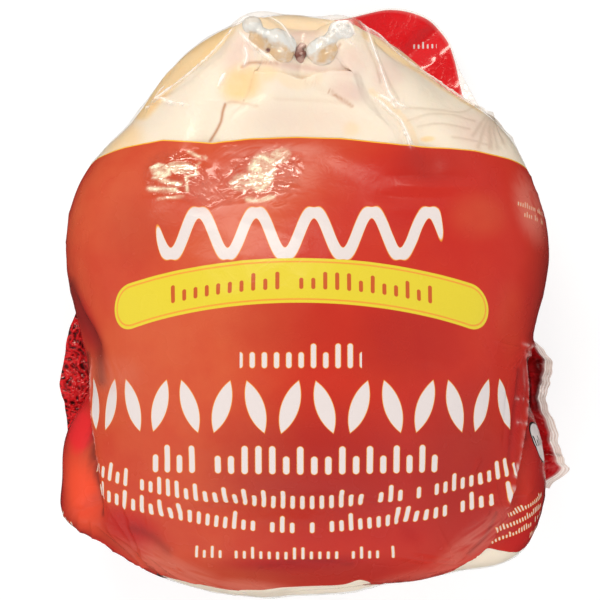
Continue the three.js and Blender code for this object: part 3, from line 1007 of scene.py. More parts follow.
def skin_material():
    """Raw poultry skin: cream, with yellow fat and pink flesh showing through, and moist."""
    material, nodes = new_material("raw skin")
    place = nodes.add("TexCoord", out="Object")
    patches = nodes.use(blotches(), Place=place, Scale=26.0, Low=0.38, High=0.66)
    specks = nodes.use(blotches(), Place=place, Scale=95.0, Low=0.45, High=0.62)
    colour = nodes.mix(nodes.math("MULTIPLY", patches, 0.4), tint("skin"), tint("skin_pale"))
    fat = nodes.both(nodes.attribute("fat"), nodes.step(specks, 0.0, 1.0, 0.8, 1.0))
    colour = nodes.mix(fat, colour, tint("fat"))
    flushed = nodes.both(nodes.attribute("flush"), nodes.step(specks, 0.0, 1.0, 1.0, 0.75))
    colour = nodes.mix(flushed, colour, tint("flush"))
    # Painted shade at the bottom of the skin's creases.
    colour = nodes.mix(nodes.attribute("seam"), colour, tint("seam"))
    pores = nodes.noise(place, 520.0, 2.0, 0.6)
    lines = nodes.use(fine_wrinkles(), Place=place, Scale=120.0, Sharpness=8.0)
    normal = nodes.bump(nodes.math("MULTIPLY_ADD", lines, 0.35, pores), 0.3, 0.0005)
    surface = nodes.principled(
        Base_Color=colour, Roughness=nodes.step(pores, 0.3, 0.7, 0.34, 0.5), Normal=normal, Coat_Weight=0.12,
        Coat_Roughness=0.12, Subsurface_Weight=0.12, Subsurface_Radius=(1.0, 0.45, 0.25),
        Subsurface_Scale=0.004,
    )
    put_out(nodes, surface)
    return material


def gristle_material():
    """The wet cartilage of a cut leg bone: bluish white, with yellow-brown fat and a speck of marrow."""
    material, nodes = new_material("gristle")
    place = nodes.add("TexCoord", out="Object")
    patches = nodes.use(blotches(), Place=place, Scale=120.0, Low=0.4, High=0.55)
    fat = nodes.step(nodes.math("MULTIPLY_ADD", patches, 0.5, nodes.attribute("fat")), 0.3, 1.2)
    colour = nodes.mix(fat, tint("gristle"), tint("gristle_fat"))
    colour = nodes.mix(nodes.attribute("marrow"), colour, tint("marrow"))
    grain = nodes.noise(place, 420.0, 3.0, 0.6)
    normal = nodes.bump(grain, 0.25, 0.0005)
    surface = nodes.principled(
        Base_Color=colour, Roughness=nodes.step(grain, 0.3, 0.7, 0.16, 0.3), Normal=normal, Coat_Weight=0.6,
        Coat_Roughness=0.05, Subsurface_Weight=0.15, Subsurface_Radius=(0.8, 0.6, 0.5),
        Subsurface_Scale=0.003,
    )
    put_out(nodes, surface)
    return material


def tissue_material():
    """The dark pinkish tissue between the two hocks."""
    material, nodes = new_material("vent tissue")
    place = nodes.add("TexCoord", out="Object")
    patches = nodes.use(blotches(), Place=place, Scale=170.0, Low=0.4, High=0.6)
    colour = nodes.mix(patches, tint("tissue"), tint("marrow"))
    colour = nodes.mix(nodes.attribute("fat"), colour, tint("flush"))
    grain = nodes.noise(place, 600.0, 3.0, 0.6)
    surface = nodes.principled(
        Base_Color=colour, Roughness=nodes.step(grain, 0.3, 0.7, 0.2, 0.4),
        Normal=nodes.bump(grain, 0.4, 0.0006), Coat_Weight=0.5, Coat_Roughness=0.08,
    )
    put_out(nodes, surface)
    return material


# ---------------------------------------------------------------------------------------------------------
# The bird.

SKIN_GAP = 0.35  # from the skin to the plain film where it clings
LEAST_GAP = 0.2  # from the skin to the film's deepest wrinkle
COVERED_GAP = 1.5  # the skin lies this much deeper where print covers it
COVERED_FROM = (4, 10)  # depths into the print between which that sets in
VALLEY_SHARE = 0.8  # the share of a valley's depth in the film that the skin keeps further below it
FLESH_GRAIN, LUMP_GRAIN = 0.0024, 0.0006  # metres between the points of the joined flesh, and of small lumps
WINDOW_FLOOR = 52  # the skin towards the legs from here shows, and has smaller faces
SEAM_REACH = 2.5  # how far from a seam faces are cut smaller again
FAT_PATCHES = [
    Patch((-25.5, 86.5), (9, 7.5), 35),
    Patch((-17, 90), (7, 4), 10, 0.5),
    Patch((47, 64.5), (3, 1.2), 5, 0.8),
    Patch((17.1, 68.2), (3.5, 3), 0, 0.4),
    Patch((-2, 112), (34, 6), 0, 0.6),
    Patch((-76, 68), (10, 14), 40, 0.7),
]
FAT_STRIPS = [  # path, half width and strength
    ([(-66, 78), (-58, 87), (-47, 97), (-33, 109)], 6.5, 0.95),
    ([(24, 106), (42, 96), (58, 86), (70, 79)], 3.5, 0.8),
    ([(-16, 95), (-6, 86), (4, 88)], 3.0, 0.25),
    ([(25, 83), (33, 77), (39, 71), (42.5, 63)], 1.6, 0.35),
]
FLUSH_PATCHES = [
    Patch((15.9, 83), (7, 4.6), -20, 0.75),
    Patch((-26, 98), (6, 10), -30, 0.6),
    Patch((17, 94), (9, 7), 0, 0.6),
    Patch((-4, 92.5), (14, 1.6), -5, 0.8),
    Patch((-2, 105), (9, 4), 0, 0.7),
    Patch((-2, 71), (20, 7), 0, 0.3),
    Patch((31, 90), (7, 7), 0, 0.6),
    Patch((67, 68), (10, 8), -20, 0.55),
]
SEAMS = [  # path, half width and depth of the groove, which also sets its painted shade
    ([(-32, 78), (-33, 74.9), (-33.6, 71.3), (-35.5, 67.4), (-37.9, 63.6)], 0.5, 1.2),
    ([(-32, 78), (-29.7, 79), (-26.2, 78.5), (-19.5, 77.1)], 0.3, 0.6),
    ([(-25.4, 92.3), (-22.7, 93.9), (-17.2, 94.2), (-12, 93.6)], 0.5, 0.9),
    ([(-12, 93.6), (-6.7, 93), (0.3, 91.9), (6.9, 90.3)], 0.25, 0.5),
    ([(8.5, 83), (12, 80.7), (17.4, 77.1)], 0.6, 0.8),
    ([(7.7, 94.9), (10.8, 98), (12.8, 101.2)], 0.4, 0.8),
    ([(-12.5, 79.9), (-2.8, 79.6), (6.9, 79.2), (14.7, 78.3)], 0.2, 0.5),
    ([(-9.4, 91.1), (-2.8, 88.5), (4.2, 84.6), (7.3, 82.7)], 0.22, 0.5),
]
SKIN_SWELLS = [  # soft folds of the skin with no dark line: path, half width and height
    ([(26, 82), (33, 76), (38, 70), (41, 62)], 2.0, 0.8),
    ([(23, 81), (30, 75), (35, 69), (38, 61)], 1.8, -0.8),
    ([(-30, 98), (-34, 90), (-36, 82)], 4.0, -1.2),
]


def keep_under_film(points, below_valleys=0.0):
    """Points no nearer to the dressed film than the least gap, and further below its valleys by a share."""
    directions, distance = from_heart(points)
    plain = film_distance(directions)
    on_film = HEART + plain[:, None] * directions
    relief = film_relief(on_film, laid_on_film(LARGE_FOLDS), laid_on_film(small_folds()))
    deepest = plain + relief + below_valleys * np.minimum(relief, 0) - LEAST_GAP
    return HEART + np.minimum(distance, deepest)[:, None] * directions


def near_paths(points, paths, falloff):
    """For each path, seen from above, falloff of how far points are from it."""
    plan = points * (1, 1, 0)
    amounts = []
    for path, *values in paths:
        line = smooth_path([(*place, 0) for place in path])
        amounts.append(falloff(to_line(plan, line)[0], *values))
    return amounts


def soft_line(away, width, strength):
    """A line's strength, which falls off over its half width."""
    return strength * np.exp(-((away / width) ** 2))


def at_seam(away, width, depth):
    return away < SEAM_REACH


def seam_groove(away, width, depth):
    return depth * np.exp(-((away / 1.1) ** 1.5))


# Painted shade at the bottom of a crease in the skin.
def seam_shade(away, width, depth):
    return min(1, 1.5 * width) * soft_line(away, max(width, 0.6), depth)


def fat_strip(away, width, strength):
    return strength * ramp(away, width, width / 2)


class POULTRY_OT_bird(bpy.types.Operator):
    """Adds the bird's flesh and skin, pressed into shape by the tight film"""
    bl_idname = "poultry.bird"
    bl_label = "Bird"

    def execute(self, context):
        forms = [
            ball(np.array(at) * REACH, np.array(radii) * REACH, turn) for at, radii, turn in MASSES.values()
        ]
        for knee, hock, knee_radius, hock_radius in DRUMSTICKS.values():
            forms += tapered_rod(np.array(knee) * REACH, np.array(hock) * REACH, knee_radius, hock_radius)
        bird = join_as(forms, "bird")
        apply_modifier(bird, "REMESH", mode="VOXEL", voxel_size=FLESH_GRAIN)
        apply_modifier(bird, "TRIANGULATE")
        apply_modifier(bird, "SMOOTH", factor=0.5, iterations=6)
        for least_height in (50, 62):
            split_faces(bird, lambda at: (at[:, 1] > WINDOW_FLOOR) & (at[:, 2] > least_height))
        split_faces(bird, lambda at: (at[:, 2] > 62) & np.logical_or.reduce(near_paths(at, SEAMS, at_seam)))
        directions, distance = from_heart(points_of(bird))
        plain = film_distance(directions)
        on_film = HEART + plain[:, None] * directions
        at_hocks = ramp(on_film[:, 1], 90, 103) * ramp(on_film[:, 2], 60, 78)
        hollow = np.maximum(plain - distance, 0)
        covered = ramp(print_depth(on_film, artwork_places(on_film)), *COVERED_FROM)
        skin = plain - SKIN_GAP - np.minimum(0.5 * at_hocks * hollow, 5) - COVERED_GAP * covered
        valleys = np.minimum(fold_relief(on_film, laid_on_film(LARGE_FOLDS)), 0)
        skin += valleys + 0.25 * soft_noise(on_film, 14, 21)
        shaped = HEART + skin[:, None] * directions
        window = ramp(shaped[:, 2], *WINDOW_FROM)
        for groove in near_paths(shaped, SEAMS, seam_groove):
            skin -= window * groove
        for swell in near_paths(shaped, SKIN_SWELLS, soft_line):
            skin += window * swell
        skin += 0.4 * window * in_patches(shaped, FAT_PATCHES[:1])
        move_points(bird, HEART + skin[:, None] * directions)
        apply_modifier(bird, "SMOOTH", factor=0.5, iterations=3)
        shaped = keep_under_film(points_of(bird), VALLEY_SHARE)
        window = ramp(shaped[:, 2], *WINDOW_FROM)
        shaped[:, 2] = np.maximum(shaped[:, 2], LEAST_GAP)
        move_points(bird, shaped)
        strips = near_paths(shaped, FAT_STRIPS, fat_strip)
        fading = ramp(shaped[:, 2], *SIDE_FAT_FROM)
        fatty = window * in_patches(shaped, FAT_PATCHES, (1.3, 0.5))
        store(bird, "fat", np.maximum(fatty, fading * np.maximum.reduce(strips)))
        store(bird, "flush", window * in_patches(shaped, FLUSH_PATCHES, SOFT_EDGE))
        # Painted shade along the skin's creases.
        store(bird, "seam", window * np.maximum.reduce(near_paths(shaped, SEAMS, seam_shade)))
        finish_piece(bird, skin_material())
        return {"FINISHED"}


# The parts of each leg bone's bare end, in plan: middle, radii and turn. Their tops touch the film. The
# last number is how fatty each one is.
LEG_ENDS = [
    Patch((-21.4, 108.8), (4.1, 3.9, 4.4), 0, 0.0),
    Patch((-17.3, 105.9), (2.6, 2.2, 3.4), -40, 0.0),
    Patch((-10.2, 103.0), (6.6, 4.0, 4.8), -25, 0.0),
    Patch((-7.9, 100.6), (3.8, 5.0, 5.0), 0, 0.0),
    Patch((-10.2, 97.1), (5.0, 3.6, 4.6), -20, 0.6),
    Patch((-18.3, 101.0), (6.0, 2.6, 3.6), -38, 0.8),
    Patch((3.9, 98.7), (4.6, 4.4, 4.8), 0, 0.0),
    Patch((6.2, 95.6), (5.0, 3.0, 4.2), 10, 0.35),
    Patch((8.4, 97.6), (4.6, 2.3, 3.8), 35, 0.8),
    Patch((5.8, 101.4), (3.8, 3.2, 4.2), 0, 0.0),
    Patch((13.2, 106.5), (5.2, 4.2, 4.4), -10, 0.0),
    Patch((9.3, 103.4), (4.6, 3.2, 4.0), 40, 0.0),
]
FAT_EDGE = (1.56, 0.975)  # how far a lump's fat reaches, in shares of its radii
MARROW_SPECK = (-15.2, 98.9, 0.9)  # middle in plan and radius
TISSUE_LUMPS = [
    Patch((-6.2, 92.4), (2.3, 1.7, 2.8), 10, 0.0),
    Patch((-3.4, 92.8), (1.9, 1.6, 2.8), 40, 0.0),
    Patch((-5.2, 94.8), (1.8, 1.5, 2.6), 0, 0.0),
    Patch((-2.4, 95.2), (1.7, 1.5, 2.6), 0, 0.5),
    Patch((-3.8, 97.2), (1.8, 1.6, 2.6), 0, 0.0),
    Patch((-1.4, 97.8), (1.4, 1.4, 2.4), 0, 0.0),
    Patch((-3.4, 99.6), (1.6, 1.4, 2.4), 0, 0.4),
    Patch((-1.8, 101.2), (1.4, 1.3, 2.2), 0, 0.9),
]


def lumps_under_film(lumps, name, sink, softened):
    """Balls whose tops lie sink millimetres under the film, grown together into one softened lump."""
    tops = film_top([lump.middle for lump in lumps])
    forms = []
    for lump, top in zip(lumps, tops):
        middle = top - (0, 0, lump.radii[2] + sink)
        forms.append(ball(middle, lump.radii, lump.turn, rings=16))
    piece = join_as(forms, name)
    apply_modifier(piece, "REMESH", mode="VOXEL", voxel_size=LUMP_GRAIN)
    apply_modifier(piece, "SMOOTH", factor=0.5, iterations=softened)
    return piece


class POULTRY_OT_leg_ends(bpy.types.Operator):
    """Adds the bare ends of both leg bones, under the film"""
    bl_idname = "poultry.leg_ends"
    bl_label = "Leg ends"

    def execute(self, context):
        ends = lumps_under_film(LEG_ENDS, "leg_ends", 0.3, 14)
        points = points_of(ends)
        directions, distance = from_heart(points)
        distance += 0.5 * soft_noise(points, 3.5, 31) + 0.25 * soft_noise(points, 1.5, 32)
        points = HEART + distance[:, None] * directions
        move_points(ends, keep_under_film(points))
        x, y, radius = MARROW_SPECK
        away = np.hypot(points[:, 0] - x, points[:, 1] - y)
        store(ends, "fat", in_patches(points, LEG_ENDS, FAT_EDGE))
        store(ends, "marrow", ramp(away, 1.3 * radius, 0.6 * radius))
        finish_piece(ends, gristle_material())
        return {"FINISHED"}


class POULTRY_OT_vent_tissue(bpy.types.Operator):
    """Adds the soft tissue between the two leg ends"""
    bl_idname = "poultry.vent_tissue"
    bl_label = "Vent tissue"

    def execute(self, context):
        tissue = lumps_under_film(TISSUE_LUMPS, "vent_tissue", 4.6, 3)
        points = points_of(tissue)
        directions, distance = from_heart(points)
        distance += 0.6 * soft_noise(points, 1.6, 33)
        points = HEART + distance[:, None] * directions
        move_points(tissue, keep_under_film(points))
        store(tissue, "fat", in_patches(points, TISSUE_LUMPS))
        finish_piece(tissue, tissue_material())
        return {"FINISHED"}


# ---------------------------------------------------------------------------------------------------------
# The film.

LINES = [*TENSION_LINES, *LEFT_PINCH_LINES, *SKIN_FOLD_LINES, *CRESTS]
GLINT_LINES = [fold for fold in LINES if fold.height > 0.45]  # painted highlights along the lines drawn tightest
GLINT_HALF_WIDTH = 0.45
FINE_FROM = 8  # the film's faces are finer from this height up
# Faces are cut smaller within reach of each fold that is no wider than widest and no lower than lowest, and
# in patches of at least this looseness.
Step = namedtuple("Step", "reach widest lowest looseness")
STEPS_OF_DETAIL = (Step(2.4, 1.9, 0.0, 0.2), Step(1.7, 1.2, 0.25, 0.3), Step(0.9, 0.85, 0.45, 2.0))


class POULTRY_OT_tight_film(bpy.types.Operator):
    """Adds the printed film drawn tight over the bird"""
    bl_idname = "poultry.tight_film"
    bl_label = "Tight film"

    def execute(self, context):
        bpy.ops.object.select_all(action="DESELECT")
        bpy.ops.mesh.primitive_ico_sphere_add(subdivisions=6, radius=0.1, location=HEART * scale_of_pack())
        film = take_new("tight_film")
        large, small = laid_on_film(LARGE_FOLDS), laid_on_film(small_folds())
        self.draw_tight(film)
        split_faces(film, lambda at: at[:, 2] > FINE_FROM)
        for step in STEPS_OF_DETAIL:
            self.draw_tight(film)
            split_faces(film, lambda at: self.wrinkled(at, small, step) | self.crumpled(at, step))
        self.draw_tight(film)
        plain = points_of(film)
        directions, distance = from_heart(plain)
        dressed = HEART + (distance + film_relief(plain, large, small))[:, None] * directions
        dressed[:, 2] = np.maximum(dressed[:, 2], 0)
        move_points(film, dressed)

        self.store_print(film, plain, HEART + (distance + fold_relief(plain, large))[:, None] * directions)
        self.store_clear_film(film, plain)
        finish_piece(film, film_material())
        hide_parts("bagged_chicken")
        return {"FINISHED"}

    @staticmethod
    def store_print(film, plain, creased):
        """Stores where the print lies, and how its ink differs. creased is plain with its large folds."""
        artwork = artwork_places(creased)
        store_artwork(film, artwork)
        store(film, "print_depth", print_depth(creased, artwork))
        store(film, "front", ramp(plain[:, 2], *FRONT_FROM) * (1 - in_patches(plain, FREE_PATCHES)))
        store(film, "marked", np.zeros(len(plain)))
        paint_film(film, plain, ramp(plain[:, 2], *TINTS_FROM), np.zeros(len(plain)))
        hollow = np.min(to_flesh(plain), axis=0)
        clings = 0.75 + 0.25 * ramp(hollow, 8, 3)
        # Deeper red where the film stands off the skin, and as painted shade on the lower and right sides and
        # in the left groove.
        stands_off_and_shaded = in_patches(plain, DEEP_INK_AND_SHADE_PATCHES, SOFT_EDGE)
        store(film, "cling", clings * ramp(plain[:, 2], *CLING_FROM) * (1 - stands_off_and_shaded))
        pale = ramp(plain[:, 0] - 0.8 * np.maximum(plain[:, 1] - 20, 0), 8, -38)
        store(film, "pale", np.maximum(pale, in_patches(plain, PALE_PATCHES, SOFT_EDGE)))
        slack = 1 - ramp(plain[:, 2], *SLACK_UP_TO)
        store(film, "slack", np.maximum(in_patches(plain, LOOSE_PATCHES), slack))

    @staticmethod
    def store_clear_film(film, plain):
        """Stores the painted shade in the clear film's creases and the painted highlights along the lines
        where it is drawn tightest.
        """
        creases = np.maximum.reduce(near_paths(plain, CLEAR_FILM_SHADES, soft_line))
        store(film, "crease", ramp(plain[:, 2], *TINTS_FROM) * creases)
        # Painted highlights along the lines drawn tightest.
        bright = [fold._replace(height=1.0, width=GLINT_HALF_WIDTH) for fold in GLINT_LINES]
        bright += [fold._replace(height=0.4, width=GLINT_HALF_WIDTH) for fold in KNOB_LINES]
        drawn = np.clip(fold_relief(plain, laid_on_film(bright)), 0, 1)
        ridges = ramp(plain[:, 2], *GLINT_LINES_FROM) * drawn
        ridges *= ramp(soft_noise(plain, 2.2, 90) - 0.006 * np.maximum(40 - plain[:, 1], 0), -0.9, 0.1)
        store(film, "haze", np.clip(0.03 + 0.9 * ridges, 0, 1))

    @staticmethod
    def crumpled(points, step):
        """True for points in the film's loose patches."""
        return (points[:, 2] > 30) & (in_patches(points, LOOSE_PATCHES) > step.looseness)

    @staticmethod
    def draw_tight(film):
        directions, _ = from_heart(points_of(film))
        move_points(film, HEART + film_distance(directions)[:, None] * directions)

    @staticmethod
    def wrinkled(points, laid, step):
        """True for points that are near a fold for its width."""
        chosen = np.zeros(len(points), bool)
        for fold, line in laid:
            if fold.width > step.widest or abs(fold.height) < step.lowest:
                continue
            away = step.reach * (fold.width + 0.25)
            near = np.flatnonzero(near_line(points, line, away) & ~chosen)
            if len(near):
                chosen[near] = to_line(points[near], line)[0] < away
        return chosen


# How the ink differs over the film, seen from above: where it has no artwork; where it is deeper red, both
# where it stands off the skin and as painted shade on the lower and right sides; where pale skin shows
# through; where light falls through it; where a painted sheen lies over it in streaks; and where painted
# shade dims it.
FREE_PATCHES = [Patch((-91.6, -51), (4.2, 9))]
# Deeper red ink: where the film stands off the skin, and painted shade on the lower and right sides and in
# the left groove.
DEEP_INK_AND_SHADE_PATCHES = [
    Patch((-87.5, -8), (4.5, 17), 24, 0.9),
    Patch((-71, -88), (15, 8), -35, 0.9),
    Patch((-4, -101), (30, 3.5), 2, 0.9),
    Patch((98, -55), (9.5, 44)),
    Patch((86, -90), (14, 13), 0, 0.9),
    Patch((40, -90), (8, 5), -50, 0.5),
    Patch((34, 32), (10, 4), 20, 0.35),
    Patch((82, -45), (3.5, 24), -6, 0.7),
    Patch((12, -72), (80, 36), 0, 0.35),
    Patch((38, -12), (22, 14), 0, 0.3),
]
PALE_PATCHES = [Patch((66, 34), (11, 8), 0, 0.6), Patch((80, -5), (6, 14), 0, 0.3)]
BRIGHT_PATCHES = [Patch((-90.5, -74), (15, 6), -72)]
# Painted sheen: where the film's reflection lightens the ink, broken into streaks.
SHEEN_PATCHES = [
    Patch((-50, -106), (24, 5), -24, 0.3),
    Patch((-24, -112), (18, 3), -5, 0.3),
    Patch((63, -96), (21, 5), 42, 0.28),
    Patch((44, -109), (20, 4), 12, 0.2),
    Patch((-14, 59.5), (20, 3), 2, 0.6),
    Patch((-17, 50), (20, 11), 8, 0.5),
    Patch((-36, 44), (12, 8), -10, 0.4),
    Patch((88, 38), (6, 13), 15, 0.4),
    Patch((-76, -28), (10, 7), 0, 0.15),
]
# Painted shade: the ink dimmed on the lower and right sides and in other places the light reaches less.
DIM_PATCHES = [
    Patch((4, -64), (44, 26), 0, 0.24),
    Patch((60, -64), (26, 32), 0, 0.24),
    Patch((0, -106), (44, 8), 0, 0.28),
    Patch((36, -14), (24, 18), 0, 0.16),
    Patch((-4, -8), (26, 14), 0, 0.1),
    Patch((101, 0), (14, 38), 0, 0.5),
    Patch((97, -60), (10, 36), 0, 0.22),
    Patch((47, 55), (14, 8), 0, 0.17),
    Patch((-66, 28), (14, 14), 0, 0.1),
]
SHADES = [  # painted shade along its valleys and in the gaps beside its crests: path, half width and strength
    ([(87.6, -22), (90, -31), (90.5, -38), (90, -46), (88, -56)], 1.3, 1.0),
    ([(94, -24), (94.5, -34), (93.5, -42)], 2.5, 0.8),
    ([(-94, 8), (-89.8, -4.7), (-85.8, -10.6), (-82, -19), (-81, -30)], 2.6, 0.6),
    ([(-87.2, -20), (-87.6, -34), (-87.4, -46), (-87.8, -58), (-86, -70), (-82, -84)], 1.0, 0.7),
    ([(83.8, -26), (82.5, -38), (80.3, -53.5), (79, -65)], 0.9, 0.35),
    ([(-20, -103.5), (-6.7, -100.5), (8.9, -100.5), (18, -102)], 1.4, 0.35),
    ([(-69, -88), (-62, -93), (-55, -98)], 1.6, 0.3),
    ([(74.5, -82), (70, -92), (64, -99)], 0.8, 0.5),
]
PAINTED_HIGHLIGHT_PATCHES = [  # painted highlights, where the crumpled film catches the key light
    Patch((-56.7, 51.7), (4.4, 2.7), -10),
    Patch((-49, 52.8), (4.8, 2.7), 0, 0.75),
    Patch((-17.8, 51.2), (5.2, 7.4), -12),
    Patch((-10.9, 57.2), (4.6, 2.8), 20, 0.65),
    Patch((-24.7, 47.4), (5.6, 3.4), 10, 0.5),
]
PAINTED_HIGHLIGHT_LINES = [  # painted highlight streaks: path, half width and strength
    ([(-59.4, 49.3), (-54.2, 47.6), (-49, 46.2)], 0.9, 0.9),
    ([(-61.3, 45.1), (-56.7, 44.5), (-50.9, 44)], 1.0, 1.0),
    ([(-57.9, 40.9), (-52.9, 41.3), (-47.5, 41.3)], 0.6, 0.6),
    ([(-46.5, 59.8), (-43.5, 58.9), (-40.8, 58.7)], 0.6, 0.9),
    ([(-42.6, 56.1), (-43.8, 52.6), (-42.6, 50.9)], 0.5, 0.9),
    ([(-42.6, 50.9), (-46.4, 48.9), (-46, 46.3), (-46.4, 44)], 0.6, 0.9),
    ([(-23.2, 40.5), (-18.2, 40.1), (-13.2, 41.7)], 0.8, 0.8),
]
CLEAR_FILM_SHADES = [  # painted shade beside the pleats and along the fainter tension lines in the clear film: path, half width and strength
    *[([(x + 0.9, y - 0.4) for x, y in fold.path], 0.8, 0.4) for fold in PLEATS],
    *[(fold.path, 0.4, 0.4) for fold in LINES if fold.height <= 0.45],
]


def paint_film(piece, points, upper, valleys):
    """Stores how the ink differs at each point, with its painted shade, sheen and highlights. upper is 0
    where none of it applies. valleys get painted shade too.
    """
    shades = near_paths(points, SHADES, soft_line)
    store(piece, "bright", upper * in_patches(points, BRIGHT_PATCHES, SOFT_EDGE))
    store(piece, "veil", upper * in_patches(points, SHEEN_PATCHES, SOFT_EDGE))
    dim = in_patches(points, DIM_PATCHES, SOFT_EDGE)
    store(piece, "shade", upper * np.maximum.reduce([dim, valleys, *shades]))
    # Painted highlights where the crumpled film catches the key light.
    lines = near_paths(points, PAINTED_HIGHLIGHT_LINES, soft_line)
    glare = np.maximum.reduce([in_patches(points, PAINTED_HIGHLIGHT_PATCHES), *lines])
    bright = np.flatnonzero(glare > 0.01)
    glare[bright] *= 0.45 + 0.55 * ramp(soft_noise(points[bright] * (0.5, 1.4, 1), 2.2, 91), -0.45, 0.25)
    store(piece, "glare", upper * glare)


# A sheet of loose film between a root inside the pack and its free edge. steps are along and across it.
# margin is the width in millimetres that is left unprinted along the free edge, crumple the height of its
# crumples, size how far apart they are, and valleys how much painted shade lies between them.
LooseFilm = namedtuple("LooseFilm", "name root edge steps margin haze crumple size valleys")
LOOSE_FILMS = [
    LooseFilm(
        "bag_tail",
        [(-14, 84, 20), (8, 80, 18), (30, 70, 18), (50, 58, 20)],
        [(-4, 117, 22), (15, 118.5, 14), (35, 123, 9), (50, 119.5, 8), (58.5, 110.5, 9), (63.5, 97, 11),
         (72, 80, 18)],
        (150, 60), 0.9, 0.3, 0.25, 12, 0.0,
    ),
    LooseFilm(
        "side_gather",
        [(-76, 6, 38), (-76, -18, 37), (-76, -40, 36), (-78, -56, 36)],
        [(-90, 2, 46), (-95.5, -8, 43), (-98.5, -21, 40), (-100.4, -33, 37), (-98.3, -43, 36),
         (-97, -54, 38)],
        (260, 110), -9.0, 0.1, 1.3, 3.2, 1.0,
    ),
    LooseFilm(
        "sealed_edge",
        [(78, -10, 36), (80, -30, 34), (80, -54, 33), (80, -72, 34)],
        [(91.5, -15, 48), (98.3, -21.5, 45), (99.3, -29.5, 42), (97.2, -36, 41), (99, -44, 40),
         (102, -54, 39), (104, -62, 38), (106.3, -68, 37.5), (98, -75, 37)],
        (220, 60), 3.4, 0.8, 0.8, 6, 0.3,
    ),
]
FILM_THICKNESS = 0.0002  # in metres
SEAL_LINES = (0.5, 1.6, 2.7)  # grooves pressed along the sealed edge, in millimetres from it


def pleats(u, count):
    """Pleats that are never quite alike: a slow wave, its spacing drifting, with a quicker one on top."""
    slow = np.sin(2 * np.pi * count * u + 1.6 * np.sin(7 * u))
    return slow + 0.45 * np.sin(4.3 * np.pi * count * u + 2)


def along_curve(points, u):
    """Places on a smooth curve through points, for u from 0 to 1."""
    path = smooth_path(points, 0.5)
    pieces = len(points) - 1
    counts = [max(2, int(math.dist(a, b) / 0.5)) for a, b in zip(points, points[1:])]
    knots = np.concatenate([k + np.arange(n) / n for k, n in enumerate(counts)] + [[pieces]]) / pieces
    return np.column_stack([np.interp(u, knots, path[:, k]) for k in range(3)])


def ruffle_of(name, u, v):
    """How far a loose film's ruffles move each place of it, growing towards its free edge."""
    if name == "bag_tail":
        valley = 4 * np.exp(-(((u - 0.6 + 0.17 * (1 - v)) / 0.06) ** 2))
        return np.column_stack([0 * u, 0 * u, v * (1.6 * np.sin(9 * u + 1) - valley)])
    if name == "side_gather":
        rise = 1.6 * v * pleats(u, 4) + 3 * np.sin(np.pi * v)
        return np.column_stack([0.1 * v * pleats(u, 5), 0 * u, rise])
    return np.column_stack([0.5 * v * pleats(u, 6), 0 * u, 2 * v * pleats(u, 4)])


class POULTRY_OT_loose_film(bpy.types.Operator):
    """Adds the loose film at the bag's tail, its left side and its sealed right edge"""
    bl_idname = "poultry.loose_film"
    bl_label = "Loose film"

    def execute(self, context):
        for sheet in LOOSE_FILMS:
            self.add_sheet(sheet)
        return {"FINISHED"}

    @staticmethod
    def add_sheet(sheet):
        bpy.ops.object.select_all(action="DESELECT")
        along, across = sheet.steps
        bpy.ops.mesh.primitive_grid_add(x_subdivisions=along, y_subdivisions=across, size=1)
        piece = take_new(sheet.name)
        flat = np.empty(len(piece.data.vertices) * 3)
        piece.data.vertices.foreach_get("co", flat)
        u, v = np.clip(flat.reshape(-1, 3)[:, :2].T + 0.5, 0, 1)
        root, edge = along_curve(sheet.root, u), along_curve(sheet.edge, u)
        points = root + v[:, None] * (edge - root) + ruffle_of(sheet.name, u, v)
        ridges = crinkle(points, sheet.size, 40, 0.22) + 0.5 * crinkle(points, sheet.size / 2, 50, 0.25)
        points[:, 2] += sheet.crumple * ramp(v, 0.0, 0.4) * ramp(v, 1.05, 0.85) * (ridges - 0.5)
        inward = np.linalg.norm(edge - root, axis=1) * (1 - v)
        margin = sheet.margin + (4 * ramp(u, 0.78, 0.95) if sheet.name == "bag_tail" else 0)
        creases = np.zeros(len(u))
        if sheet.name == "sealed_edge":
            for seam in SEAL_LINES:
                pressed = np.exp(-(((inward - seam - 0.3 * np.sin(23 * u + 5 * seam)) / 0.25) ** 2))
                points[:, 2] -= 0.5 * pressed
                creases = np.maximum(creases, pressed)
        move_points(piece, points)
        store(piece, "print_depth", inward - margin)
        store(piece, "haze", sheet.haze * ramp(inward, 1.5 + margin, margin))
        store(piece, "slack", np.full(len(u), 0.6))
        # Painted shade in the valleys between the crumples.
        valleys = sheet.valleys * ramp(ridges, 0.85, 0.2)
        paint_film(piece, points, np.full(len(u), float(sheet.name != "bag_tail")), valleys)
        store(piece, "crease", creases)
        for name in ("front", "cling", "pale"):
            store(piece, name, np.zeros(len(u)))
        store(piece, "marked", np.full(len(u), float(sheet.name == "bag_tail")))
        store_artwork(piece, points[:, :2])
        apply_modifier(piece, "SOLIDIFY", thickness=FILM_THICKNESS, offset=0.0)
        finish_piece(piece, film_material())


# ---------------------------------------------------------------------------------------------------------
# The stage.

EYE = np.array([-2.8, 1.6, 1360.0])  # the camera, straight above the pack, in millimetres
VIEW_ANGLE = 2 * math.atan(120 / 1300)  # what it takes in, either way
KEY_PLACE = (-0.27, 0.705, 0.867)  # in metres
KEY_AXIS = (0.96, 0.04, 0.28)  # the way the strip of the key light runs
KEY_SIZE, KEY_POWER = (0.6, 0.18), 5.0
KEY_COLOUR = (1, 0.93, 0.8)
WALL_LIGHT = (1.4, 0.75)  # at the foot of the studio's pale walls, and at their top
SIDE_SHARES = (0.85, 1.15, 1.9)  # of that, beside the pack, behind its legs and before its neck end
CEILING_LIGHT = 0.1
MIRRORED_LIGHT = 0.08  # how much of the studio the glossy film mirrors, as through a polarising filter


